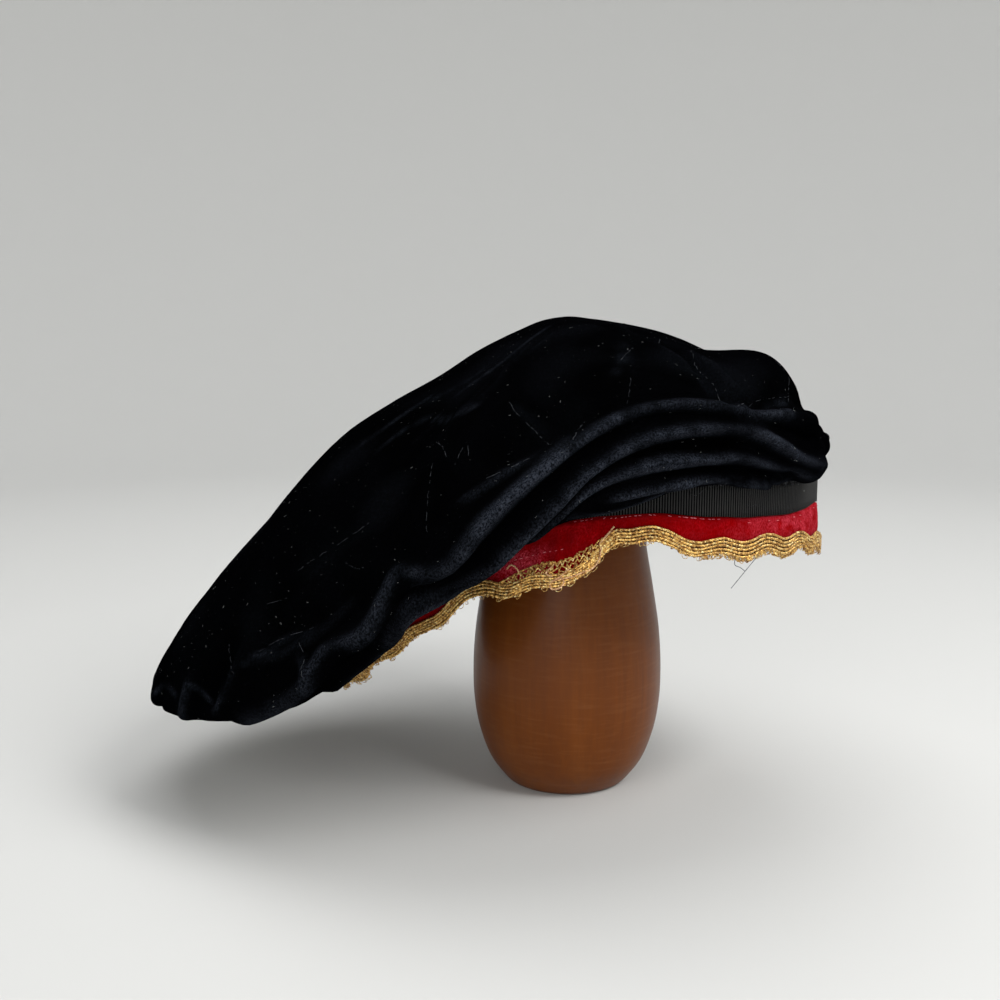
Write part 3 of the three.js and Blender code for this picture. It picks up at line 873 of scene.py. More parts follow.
class Nodes:
    """A node tree, built node by node."""

    def __init__(self, tree: bpy.types.NodeTree) -> None:
        """Keeps the tree."""
        self.tree = tree

    def feed(self, socket: Socket, value: object) -> None:
        """Links an input to another node's socket, or gives it a plain value.

        Args:
            socket: The input.
            value: The socket or the value.
        """
        if isinstance(value, bpy.types.NodeSocket):
            self.tree.links.new(value, socket)
        else:
            socket.default_value = value

    def add(self, kind: str, inputs: dict | None = None, **settings: object) -> Node:
        """Adds a node.

        Args:
            kind: The node's type name.
            inputs: Values or sockets for its inputs, by name or number.
            settings: Values for the node's own settings.

        Returns:
            The node.
        """
        node = self.tree.nodes.new(kind)
        for key, value in settings.items():
            setattr(node, key, value)
        for key, value in (inputs or {}).items():
            self.feed(node.inputs[key], value)
        return node

    def shown(self, kind: str, inputs: dict | None = None, **settings: object) -> Socket:
        """The first output in use of a node that it adds."""
        node = self.add(kind, inputs, **settings)
        return next(s for s in node.outputs if s.enabled)

    def maths(self, operation: str, a: object, b: object = 0.0) -> Socket:
        """The result of a maths node."""
        return self.add("ShaderNodeMath", {0: a, 1: b}, operation=operation).outputs[0]


class Tree(Nodes):
    """A geometry node tree with named inputs."""

    def __init__(self, name: str) -> None:
        """Starts a tree that takes and gives geometry.

        Args:
            name: The tree's name.
        """
        super().__init__(bpy.data.node_groups.new(name, "GeometryNodeTree"))
        for way in ("INPUT", "OUTPUT"):
            self.tree.interface.new_socket("Geometry", in_out=way,
                                           socket_type="NodeSocketGeometry")
        self.inputs = self.tree.nodes.new("NodeGroupInput")
        self.target = self.tree.nodes.new("NodeGroupOutput")

    @property
    def source(self) -> Socket:
        """The geometry that the tree is given."""
        return self.inputs.outputs["Geometry"]

    def size(self, name: str, value: float) -> Socket:
        """Adds a named input, for a count where the value is a whole number.

        Args:
            name: The input's name.
            value: Its usual value.

        Returns:
            The input's socket.
        """
        kind = "NodeSocketInt" if isinstance(value, int) else "NodeSocketFloat"
        item = self.tree.interface.new_socket(name, in_out="INPUT", socket_type=kind)
        item.default_value = value
        return self.inputs.outputs[name]

    def vector(self, operation: str, a: object, b: object) -> Socket:
        """The vector result of a vector maths node."""
        key = {0: a, 3: b} if operation == "SCALE" else {0: a, 1: b}
        return self.add("ShaderNodeVectorMath", key, operation=operation).outputs[0]

    def attribute(self, name: str, kind: str = "FLOAT_VECTOR") -> Socket:
        """A named attribute's values."""
        return self.shown("GeometryNodeInputNamedAttribute", {"Name": name}, data_type=kind)

    def tube(self, curve: Socket, radius: object, sides: object) -> Socket:
        """A capped tube along a curve.

        Args:
            curve: The curve.
            radius: The tube's radius.
            sides: Its number of sides.

        Returns:
            The tube's mesh.
        """
        ring = self.add("GeometryNodeCurvePrimitiveCircle", {"Resolution": sides, "Radius": radius})
        return self.add("GeometryNodeCurveToMesh", {
            "Curve": curve, "Profile Curve": ring.outputs[0], "Fill Caps": True}).outputs[0]

    def finish(self, geometry: Socket, material: Material, smooth: bool = True) -> None:
        """Ends the tree in Realize Instances and Set Material.

        Args:
            geometry: What the tree has made.
            material: Its material.
            smooth: Whether its faces are shaded smooth.
        """
        if smooth:
            geometry = self.add("GeometryNodeSetShadeSmooth", {"Geometry": geometry}).outputs[0]
        real = self.add("GeometryNodeRealizeInstances", {"Geometry": geometry})
        dressed = self.add("GeometryNodeSetMaterial", {"Geometry": real.outputs[0],
                                                       "Material": material})
        self.tree.links.new(dressed.outputs[0], self.target.inputs[0])

    def grow(self, name: str, source: Piece, **sizes: float) -> Piece:
        """Runs the tree on an object and returns the result as a plain mesh object.

        Args:
            name: The new object's name.
            source: The object whose mesh the tree reads. It is removed.
            sizes: Values for the named inputs, with _ for a space.

        Returns:
            The new object.
        """
        modifier = source.modifiers.new("grow", "NODES")
        modifier.node_group = self.tree
        by_name = {item.name: item.identifier for item in self.tree.interface.items_tree
                   if item.in_out == "INPUT"}
        for key, value in sizes.items():
            modifier[by_name[key.replace("_", " ")]] = value
        graph = bpy.context.evaluated_depsgraph_get()
        mesh = bpy.data.meshes.new_from_object(source.evaluated_get(graph), depsgraph=graph)
        mesh.name = name
        made = bpy.data.objects.new(name, mesh)
        bpy.context.scene.collection.objects.link(made)
        source.modifiers.clear()
        bpy.data.objects.remove(source)
        return made


def plied_cord_tree(name: str, material: Material) -> Tree:
    """A tree that lays two twisted plies along the edges of a mesh.

    Args:
        name: The tree's name.
        material: The cord's material.

    Returns:
        The tree, with inputs for the ply's radius, the twist's radius and pitch, and its steps.
    """
    tree = Tree(name)
    ply = tree.size("Ply radius", 0.0002)
    twist = tree.size("Twist radius", 0.0002)
    pitch = tree.size("Twist pitch", 0.0021)
    step = tree.size("Step", 0.0004)
    sides = tree.size("Sides", 5)
    curve = tree.add("GeometryNodeMeshToCurve", {"Mesh": tree.source})
    even = tree.add("GeometryNodeResampleCurve", {"Curve": curve.outputs[0], "Length": step},
                    mode="LENGTH")
    length = tree.add("GeometryNodeSplineParameter").outputs["Length"]
    normal = tree.add("GeometryNodeInputNormal").outputs[0]
    tangent = tree.add("GeometryNodeInputTangent").outputs[0]
    side = tree.vector("CROSS_PRODUCT", tangent, normal)
    turn = tree.maths("MULTIPLY", tree.maths("DIVIDE", length, pitch), 2 * math.pi)
    join = tree.add("GeometryNodeJoinGeometry")
    for phase in (0.0, math.pi):
        angle = tree.maths("ADD", turn, phase)
        across = tree.vector("SCALE", normal, tree.maths("COSINE", angle))
        beside = tree.vector("SCALE", side, tree.maths("SINE", angle))
        offset = tree.vector("SCALE", tree.vector("ADD", across, beside), twist)
        moved = tree.add("GeometryNodeSetPosition", {"Geometry": even.outputs[0], "Offset": offset})
        tree.tree.links.new(tree.tube(moved.outputs[0], ply, sides), join.inputs[0])
    tree.finish(join.outputs[0], material)
    return tree


def thread_tree(name: str, material: Material) -> Tree:
    """A tree that lays one round thread along the edges of a mesh.

    Args:
        name: The tree's name.
        material: The thread's material.

    Returns:
        The tree, with inputs for the thread's radius and its number of sides.
    """
    tree = Tree(name)
    radius = tree.size("Thread radius", 0.0001)
    sides = tree.size("Sides", 4)
    curve = tree.add("GeometryNodeMeshToCurve", {"Mesh": tree.source})
    tree.finish(tree.tube(curve.outputs[0], radius, sides), material)
    return tree


def bar_tree(name: str, material: Material) -> Tree:
    """A tree that lays a rounded bar at each point, along one attribute and facing another.

    Args:
        name: The tree's name.
        material: The bars' material.

    Returns:
        The tree, with inputs for the bar's length, radius, flatness and unevenness.
    """
    tree = Tree(name)
    length = tree.size("Bar length", 0.003)
    radius = tree.size("Bar radius", 0.0003)
    flatness = tree.size("Flatness", 1.0)
    uneven = tree.size("Unevenness", 0.1)
    sides = tree.size("Sides", 8)
    rows = tree.size("Rows", 3)
    bar = tree.add("GeometryNodeMeshCylinder", {
        "Vertices": sides, "Side Segments": rows, "Radius": radius, "Depth": length},
        fill_type="TRIANGLE_FAN")
    scale = tree.add("ShaderNodeCombineXYZ", {"X": flatness, "Y": 1.0, "Z": 1.0})
    flat = tree.add("GeometryNodeTransform", {"Geometry": bar.outputs["Mesh"],
                                              "Scale": scale.outputs[0]})
    upright = tree.add("FunctionNodeAlignRotationToVector", {
        "Vector": tree.attribute("bar_along")}, axis="Z")
    facing = tree.add("FunctionNodeAlignRotationToVector", {
        "Rotation": upright.outputs[0], "Vector": tree.attribute("bar_facing")},
        axis="X", pivot_axis="Z")
    draw = tree.shown("FunctionNodeRandomValue", {
        "Min": tree.maths("SUBTRACT", 1.0, uneven), "Max": tree.maths("ADD", 1.0, uneven),
        "Seed": 11}, data_type="FLOAT")
    stretch = tree.add("ShaderNodeCombineXYZ", {"X": 1.0, "Y": 1.0, "Z": draw})
    placed = tree.add("GeometryNodeInstanceOnPoints", {
        "Points": tree.source, "Instance": flat.outputs[0], "Rotation": facing.outputs[0],
        "Scale": stretch.outputs[0]})
    tree.finish(placed.outputs[0], material)
    return tree


def turning_tree(name: str, material: Material) -> Tree:
    """A tree that turns a profile, given as radius by height, round the Z axis.

    Args:
        name: The tree's name.
        material: The turning's material.

    Returns:
        The tree, with inputs for the number of sides and rows.
    """
    tree = Tree(name)
    sides = tree.size("Sides", 160)
    rows = tree.size("Rows", 120)
    curve = tree.add("GeometryNodeMeshToCurve", {"Mesh": tree.source})
    grid = tree.add("GeometryNodeMeshGrid", {"Size X": 1.0, "Size Y": 1.0, "Vertices X": sides,
                                             "Vertices Y": rows})
    place = tree.add("GeometryNodeInputPosition").outputs[0]
    parts = tree.add("ShaderNodeSeparateXYZ", {"Vector": place})
    share = tree.maths("ADD", parts.outputs["Y"], 0.5)
    turn = tree.maths("MULTIPLY", tree.maths("ADD", parts.outputs["X"], 0.5), 2 * math.pi)
    sample = tree.add("GeometryNodeSampleCurve", {"Curves": curve.outputs[0], "Factor": share},
                      mode="FACTOR")
    spot = tree.add("ShaderNodeSeparateXYZ", {"Vector": sample.outputs["Position"]})
    radius = spot.outputs["X"]
    where = tree.add("ShaderNodeCombineXYZ", {
        "X": tree.maths("MULTIPLY", radius, tree.maths("COSINE", turn)),
        "Y": tree.maths("MULTIPLY", radius, tree.maths("SINE", turn)),
        "Z": spot.outputs["Z"]})
    turned = tree.add("GeometryNodeSetPosition", {"Geometry": grid.outputs["Mesh"],
                                                  "Position": where.outputs[0]})
    merged = tree.add("GeometryNodeMergeByDistance", {"Geometry": turned.outputs[0],
                                                      "Distance": 0.00001})
    tree.finish(merged.outputs[0], material)
    return tree


def lint_tree(name: str, material: Material) -> Tree:
    """A tree that scatters short bent fibres over the faces marked as outside.

    Args:
        name: The tree's name.
        material: The fibres' material.

    Returns:
        The tree, with inputs for how many there are and how long and thick they are.
    """
    tree = Tree(name)
    density = tree.size("Fibre density", 30000.0)
    length = tree.size("Fibre length", 0.00044)
    radius = tree.size("Fibre radius", 0.000045)
    outside = tree.maths("GREATER_THAN", tree.attribute("outside", "FLOAT"), 0.5)
    spots = tree.add("GeometryNodeDistributePointsOnFaces", {
        "Mesh": tree.source, "Selection": outside, "Density": density, "Seed": 8})
    arc = tree.add("GeometryNodeCurveArc", {"Resolution": 4, "Radius": length,
                                            "Sweep Angle": 1.3})
    fibre = tree.tube(arc.outputs[0], radius, 3)
    turn = tree.shown("FunctionNodeRandomValue", {
        "Min": (-0.2, -0.2, 0.0), "Max": (0.2, 0.2, 6.28), "Seed": 3}, data_type="FLOAT_VECTOR")
    laid = tree.add("FunctionNodeRotateRotation", {
        "Rotation": spots.outputs["Rotation"], "Rotate By": turn}, rotation_space="LOCAL")
    draw = tree.shown("FunctionNodeRandomValue", {"Seed": 4}, data_type="FLOAT")
    spread = tree.maths("MULTIPLY", tree.maths("POWER", draw, 2.5), 1.5)
    placed = tree.add("GeometryNodeInstanceOnPoints", {
        "Points": spots.outputs["Points"], "Instance": fibre,
        "Rotation": laid.outputs[0], "Scale": tree.maths("ADD", spread, 0.3)})
    tree.finish(placed.outputs[0], material, smooth=False)
    return tree


def lay_bars(name: str, material: Material, place: Array, along: Array, facing: Array,
             **sizes: float) -> Piece:
    """Lays a small bar at each point.

    Args:
        name: The bars' name.
        material: Their material.
        place: The points, in millimetres.
        along: The direction of each bar.
        facing: The direction that each bar faces.
        sizes: Values for the bar tree's inputs.

    Returns:
        The bars as one object.
    """
    points = mesh_object(f"{name}_points", place)
    store(points, "bar_along", along)
    store(points, "bar_facing", facing)
    return bar_tree(f"{name}_bars", material).grow(name, points, **sizes)


def lay_threads(name: str, slot: Slot, material: Material, lines: Sequence[Array],
                radius: float, sides: int = 4) -> Piece:
    """Lays a thread along each line, as one piece.

    Args:
        name: The piece's name.
        slot: Its material slot.
        material: The threads' material.
        lines: The lines, in millimetres.
        radius: The threads' radius, in millimetres.
        sides: Their number of sides.

    Returns:
        The piece.
    """
    tree = thread_tree(f"{name}_tree", material)
    source = line_mesh(f"{name}_lines", lines)
    return place_piece(tree.grow(name, source, Thread_radius=radius * MM, Sides=sides), slot)


def lay_cord(name: str, material: Material, lines: Sequence[Array], ply: float, twist: float,
             pitch: float, closed: bool = False, **sizes: float) -> Piece:
    """Lays a cord of two twisted plies along each line.

    Args:
        name: The cord's name.
        material: Its material.
        lines: The lines, in millimetres.
        ply: A ply's radius, in millimetres.
        twist: How far a ply's middle lies off the line, in millimetres.
        pitch: The length of one turn, in millimetres.
        closed: Whether each line runs back to its start.
        sizes: Values for the cord tree's other inputs.

    Returns:
        The cords as one object.
    """
    source = line_mesh(f"{name}_lines", lines, closed)
    return plied_cord_tree(f"{name}_plies", material).grow(
        name, source, Ply_radius=ply * MM, Twist_radius=twist * MM, Twist_pitch=pitch * MM, **sizes)


def colour(red: float, green: float, blue: float) -> tuple[float, float, float, float]:
    """A solid colour."""
    return (red, green, blue, 1.0)


class ShaderNodes(Nodes):
    """A shader node tree, with the nodes that several finishes use."""

    def noise(self, place: Socket, scale: object, detail: float, roughness: float = 0.5,
              distortion: float = 0.0) -> Socket:
        """The value of a noise texture.

        Args:
            place: Where it is read.
            scale: Its scale.
            detail: Its number of finer layers.
            roughness: How strong the finer layers are.
            distortion: How far it is distorted.

        Returns:
            The value's socket.
        """
        return self.add("ShaderNodeTexNoise", {
            "Vector": place, "Scale": scale, "Detail": detail, "Roughness": roughness,
            "Distortion": distortion}).outputs["Fac"]

    def ranged(self, value: Socket, low: float, high: float, first: object = 0.0,
               last: float = 1.0) -> Socket:
        """A value's range mapped to another, and held inside it.

        Args:
            value: The value.
            low: The range's start.
            high: The range's end.
            first: The result at the start.
            last: The result at the end.

        Returns:
            The result's socket.
        """
        return self.add("ShaderNodeMapRange", {
            "Value": value, "From Min": low, "From Max": high, "To Min": first,
            "To Max": last}).outputs[0]

    def stretched(self, place: Socket, scale: Triple, rotation: Triple = (0.0, 0.0, 0.0)) -> Socket:
        """A place turned and stretched along its axes."""
        return self.add("ShaderNodeMapping", {
            "Vector": place, "Scale": scale, "Rotation": rotation}).outputs[0]

    def mixed(self, factor: Socket, first: object, second: object) -> Socket:
        """Mixes two colours.

        Args:
            factor: How much of the second shows.
            first: A colour or a socket.
            second: A colour or a socket.

        Returns:
            The mixed colour's socket.
        """
        node = self.add("ShaderNodeMix", {"Factor": factor}, data_type="RGBA")
        sides = [s for s in node.inputs if s.type == "RGBA"]
        for side, value in zip(sides, (first, second)):
            self.feed(side, colour(*value) if isinstance(value, tuple) else value)
        return next(s for s in node.outputs if s.type == "RGBA")


class ShaderGroup(ShaderNodes):
    """A shader node group that takes a place and named values."""

    def __init__(self, name: str) -> None:
        """Starts the group with its place.

        Args:
            name: The group's name.
        """
        super().__init__(bpy.data.node_groups.new(name, "ShaderNodeTree"))
        self.inputs = self.tree.nodes.new("NodeGroupInput")
        self.target = self.tree.nodes.new("NodeGroupOutput")
        self.tree.interface.new_socket("Place", in_out="INPUT", socket_type="NodeSocketVector")
        self.place = self.inputs.outputs["Place"]

    def takes(self, name: str, value: float) -> Socket:
        """Adds a named input.

        Args:
            name: The input's name.
            value: Its usual value.

        Returns:
            The input's socket.
        """
        item = self.tree.interface.new_socket(name, in_out="INPUT", socket_type="NodeSocketFloat")
        item.default_value = value
        return self.inputs.outputs[name]

    def gives(self, name: str, socket: Socket) -> None:
        """Adds a named output fed by a socket."""
        self.tree.interface.new_socket(name, in_out="OUTPUT", socket_type="NodeSocketFloat")
        self.tree.links.new(socket, self.target.inputs[name])


def pile_group() -> bpy.types.NodeTree:
    """Cut pile: crushed patches, brushed streaks and single fibres.

    Returns:
        The group, with a patch mask, a grain mask and a height.
    """
    group = ShaderGroup("cut_pile")
    patch = group.takes("Patch scale", 30.0)
    fibre = group.takes("Fibre scale", 2600.0)
    clump = group.takes("Clump scale", 520.0)
    least = group.takes("Least grain", 0.05)
    brushed = group.stretched(group.place, (1.0, 2.2, 0.7), (0.3, 0.5, 0.2))
    mottle = group.ranged(group.noise(group.place, patch, 5.0, 0.62, 0.6), 0.38, 0.66)
    tips = group.ranged(group.noise(brushed, fibre, 2.0, 0.6), 0.3, 0.72)
    grain = group.ranged(group.noise(brushed, clump, 4.0, 0.7), 0.42, 0.64, least)
    group.gives("Patches", group.maths("MULTIPLY", mottle, grain))
    group.gives("Grain", grain)
    group.gives("Height", group.maths("ADD", tips, grain))
    return group.tree


def speck_group() -> bpy.types.NodeTree:
    """Scattered dust specks and short lint marks.

    Returns:
        The group, with one mask.
    """
    group = ShaderGroup("lint_specks")
    scale = group.takes("Speck scale", 260.0)
    size = group.takes("Speck size", 0.16)
    cells = group.add("ShaderNodeTexVoronoi", {
        "Vector": group.place, "Scale": scale, "Randomness": 1.0}, feature="F1")
    near = group.maths("LESS_THAN", cells.outputs["Distance"], size)
    chosen = group.add("ShaderNodeSeparateXYZ", {"Vector": cells.outputs["Color"]})
    few = group.maths("GREATER_THAN", chosen.outputs[0], 0.9)
    group.gives("Mask", group.maths("MULTIPLY", near, few))
    return group.tree


class Skin(ShaderNodes):
    """A material's nodes, from the object's own coordinates to its shader."""

    def __init__(self, name: str) -> None:
        """Starts a material.

        Args:
            name: The material's name.
        """
        self.material = bpy.data.materials.new(name)
        self.material.use_nodes = True
        super().__init__(self.material.node_tree)
        self.shader = self.tree.nodes["Principled BSDF"]
        self.place = self.add("ShaderNodeTexCoord").outputs["Object"]

    def dusted(self, cloth: Socket, specks: bpy.types.NodeTree, dust: Triple, strength: float,
               scale: float) -> Socket:
        """Cloth with specks of dust on it.

        Args:
            cloth: The cloth's colour.
            specks: The shared lint group.
            dust: The dust's colour.
            strength: How strong the specks are.
            scale: How many there are.

        Returns:
            The colour's socket.
        """
        lint = self.add("ShaderNodeGroup", {"Place": self.place, "Speck scale": scale},
                        node_tree=specks)
        return self.mixed(self.maths("MULTIPLY", lint.outputs["Mask"], strength), cloth, dust)

    def bump(self, height: Socket, strength: float, distance: float) -> Socket:
        """The shader's normal, from a height."""
        return self.add("ShaderNodeBump", {
            "Height": height, "Strength": strength, "Distance": distance}).outputs[0]

    def finish(self, inputs: dict) -> Material:
        """Feeds the shader.

        Args:
            inputs: Values or sockets for the shader's inputs, by name.

        Returns:
            The finished material.
        """
        for name, value in inputs.items():
            self.feed(self.shader.inputs[name], value)
        return self.material


@dataclass(frozen=True)
class Velvet:
    """A cut pile finish: dark depths, lighter crushed patches and a sheen, with painted sheen mixed
    into the base colour where the mesh's attribute asks.
    """

    name: str
    deep: Triple
    crushed: Triple
    # The colour of the painted sheen, mixed in where the mesh's attribute asks
    wear_and_sheen: Triple
    sheen: float
    sheen_tint: Triple
    patch_scale: float
    clump_scale: float
    least_grain: float
    specks: float
    dust: Triple = (0.3, 0.3, 0.32)

    def build(self, pile: bpy.types.NodeTree, specks: bpy.types.NodeTree) -> Material:
        """The finish as a material.

        Args:
            pile: The shared cut pile group.
            specks: The shared lint group.

        Returns:
            The material.
        """
        skin = Skin(self.name)
        cut = skin.add("ShaderNodeGroup", {
            "Place": skin.place, "Patch scale": self.patch_scale,
            "Clump scale": self.clump_scale, "Least grain": self.least_grain}, node_tree=pile)
        # Painted sheen: the mesh's attribute, broken up by the pile's grain, mixes the painted sheen
        # colour into the base colour
        sheen_attribute = skin.add("ShaderNodeAttribute", attribute_name="wear_and_sheen")
        painted_sheen = skin.maths("MULTIPLY", sheen_attribute.outputs["Fac"], cut.outputs["Grain"])
        cloth = skin.mixed(cut.outputs["Patches"], self.deep, self.crushed)
        cloth = skin.mixed(painted_sheen, cloth, self.wear_and_sheen)
        return skin.finish({
            "Base Color": skin.dusted(cloth, specks, self.dust, self.specks, 260.0),
            "Normal": skin.bump(cut.outputs["Height"], 0.35, 0.0003),
            "Roughness": 0.95,
            "Specular IOR Level": 0.0,
            "Sheen Weight": self.sheen,
            "Sheen Roughness": 0.3,
            "Sheen Tint": colour(*self.sheen_tint),
        })


@dataclass(frozen=True)
class Thread:
    """A thread finish: two tones along the fibres, metal or cloth, with painted glints where a colour
    for them is given.
    """

    name: str
    main: Triple
    other: Triple
    metal: float
    roughness: float
    scale: float
    gleam: float = 0.5
    painted_glint: Triple = (0.0, 0.0, 0.0)

    def build(self) -> Material:
        """The finish as a material.

        Returns:
            The material.
        """
        skin = Skin(self.name)
        tone = skin.noise(skin.place, self.scale, 4.0, 0.65)
        glint = skin.noise(skin.place, self.scale * 1.7, 2.0)
        base = skin.mixed(skin.ranged(tone, 0.42, 0.62), self.main, self.other)
        # Painted glints: pale specks mixed into the base colour
        if any(self.painted_glint):
            base = skin.mixed(skin.ranged(glint, 0.56, 0.68), base, self.painted_glint)
        return skin.finish({
            "Base Color": base,
            "Roughness": skin.ranged(glint, 0.3, 0.7, max(self.roughness - 0.14, 0.05),
                                     self.roughness + 0.14),
            "Normal": skin.bump(glint, 0.3, 0.0001),
            "Metallic": self.metal,
            "Specular IOR Level": self.gleam,
        })


@dataclass(frozen=True)
class Ribbed:
    """Black grosgrain: dull warp threads over the ribs, with faint wear."""

    name: str = "grosgrain_weave"
    cloth: Triple = (0.021, 0.021, 0.0212)
    wear_and_sheen: Triple = (0.034, 0.034, 0.033)
    dust: Triple = (0.25, 0.25, 0.24)

    def build(self, specks: bpy.types.NodeTree) -> Material:
        """The finish as a material.

        Args:
            specks: The shared lint group.

        Returns:
            The material.
        """
        skin = Skin(self.name)
        warp = skin.noise(skin.place, 900.0, 3.0, 0.6)
        wear = skin.ranged(skin.noise(skin.place, 40.0, 4.0, 0.6), 0.4, 0.75)
        cloth = skin.mixed(wear, self.cloth, self.wear_and_sheen)
        return skin.finish({
            "Base Color": skin.dusted(cloth, specks, self.dust, 0.35, 420.0),
            "Normal": skin.bump(warp, 0.4, 0.00012),
            "Roughness": 0.55,
            "Specular IOR Level": 0.16,
        })


@dataclass(frozen=True)
class TurnedWood:
    """Stained and varnished wood with upright grain and faint turning rings."""

    name: str = "stained_turned_wood"
    tones: tuple[tuple[float, Triple], ...] = (
        (0.25, (0.118, 0.030, 0.003)), (0.52, (0.138, 0.037, 0.004)), (0.78, (0.168, 0.049, 0.007)),
    )
    pores: Triple = (0.06, 0.018, 0.006)
    ring_light: Triple = (0.30, 0.13, 0.05)

    def build(self) -> Material:
        """The finish as a material.

        Returns:
            The material.
        """
        skin = Skin(self.name)
        upright = skin.stretched(skin.place, (1.0, 1.0, 0.06))
        grain = skin.noise(upright, 420.0, 6.0, 0.65)
        broad = skin.noise(upright, 60.0, 4.0, 0.55, 0.5)
        rings = skin.noise(skin.stretched(skin.place, (0.12, 0.12, 1.0)), 700.0, 3.0)
        stain = skin.add("ShaderNodeValToRGB", {"Fac": broad})
        elements = stain.color_ramp.elements
        elements[0].position, elements[1].position = self.tones[0][0], self.tones[-1][0]
        elements.new(self.tones[1][0])
        for element, (_, tone) in zip(elements, self.tones):
            element.color = colour(*tone)
        grained = skin.mixed(skin.ranged(grain, 0.35, 0.6, 0.22, 0.0), stain.outputs["Color"],
                             self.pores)
        return skin.finish({
            "Base Color": skin.mixed(skin.ranged(rings, 0.5, 0.78, 0.0, 0.12), grained,
                                     self.ring_light),
            "Roughness": skin.ranged(grain, 0.0, 1.0, 0.34, 0.5),
            "Normal": skin.bump(skin.maths("ADD", rings, grain), 0.12, 0.0003),
            "Specular IOR Level": 0.12,
            "Coat Weight": 0.16,
            "Coat Roughness": 0.16,
            "Coat IOR": 1.35,
        })


class Finishes:
    """Every material of the object, built once."""

    def __init__(self) -> None:
        """Builds the materials."""
        pile, specks = pile_group(), speck_group()
        # The third colour of each velvet is painted sheen: painted highlights on the black crown's
        # crests, and the lit pink of the red band's high end and loose part
        self.velvet = Velvet(
            "black_pile_velvet", deep=(0.0004, 0.0004, 0.0005), crushed=(0.0012, 0.0013, 0.0018),
            wear_and_sheen=(0.031, 0.036, 0.048), sheen=0.0005, sheen_tint=(0.6, 0.72, 1.0),
            patch_scale=30.0, clump_scale=1450.0, least_grain=0.12, specks=0.0).build(pile, specks)
        self.red = Velvet(
            "red_pile_velvet", deep=(0.2, 0.0002, 0.0008), crushed=(0.34, 0.0012, 0.003),
            wear_and_sheen=(0.66, 0.062, 0.098), sheen=0.02, sheen_tint=(1.0, 0.4, 0.45),
            patch_scale=140.0, clump_scale=1500.0, least_grain=0.05, specks=0.05).build(pile, specks)
        self.ribbon = Ribbed().build(specks)
        self.wood = TurnedWood().build()
        self.gold = Thread("gold_metal_thread", (0.26, 0.11, 0.022), (0.9, 0.56, 0.16),
                           0.6, 0.32, 800.0, painted_glint=(1.0, 0.86, 0.42)).build()
        # A dark brown web behind the cords: their core, darkened as painted shade in the gaps between
        # them
        self.shade_web = Thread("braid_shade_web", (0.045, 0.016, 0.006), (0.16, 0.07, 0.024),
                          0.0, 0.7, 700.0, 0.2).build()
        self.rose = Thread("rose_gold_cord", (0.44, 0.22, 0.1), (0.85, 0.56, 0.32),
                           0.5, 0.35, 800.0).build()
        self.black_thread = Thread("black_thread", (0.06, 0.065, 0.075), (0.16, 0.17, 0.185),
                                   0.0, 0.6, 500.0).build()
        self.fray = Thread("frayed_black_yarn", (0.006, 0.006, 0.008), (0.085, 0.09, 0.1),
                           0.0, 0.8, 700.0, 0.1).build()
        # Pale threads that lie along creases as painted highlights
        self.mark = Thread("painted_crease_highlight", (0.008, 0.009, 0.011), (0.05, 0.053, 0.06),
                           0.0, 0.8, 420.0, 0.1).build()
        self.pale_thread = Thread("pale_thread", (0.45, 0.03, 0.05), (0.75, 0.22, 0.26),
                                  0.0, 0.6, 500.0).build()
        self.lint = Thread("lint_fibre", (0.012, 0.013, 0.015), (0.22, 0.225, 0.22),
                           0.0, 0.8, 60.0, 0.1).build()
        # Near black backing: the crown's inside, and painted shade in the grooves between the ribbon's
        # ribs
        self.backing_and_groove_shade = Thread("woven_backing_and_groove_shade", (0.0008, 0.0008, 0.001), (0.0025, 0.0025, 0.003),
                              0.0, 0.9, 1200.0, 0.0).build()


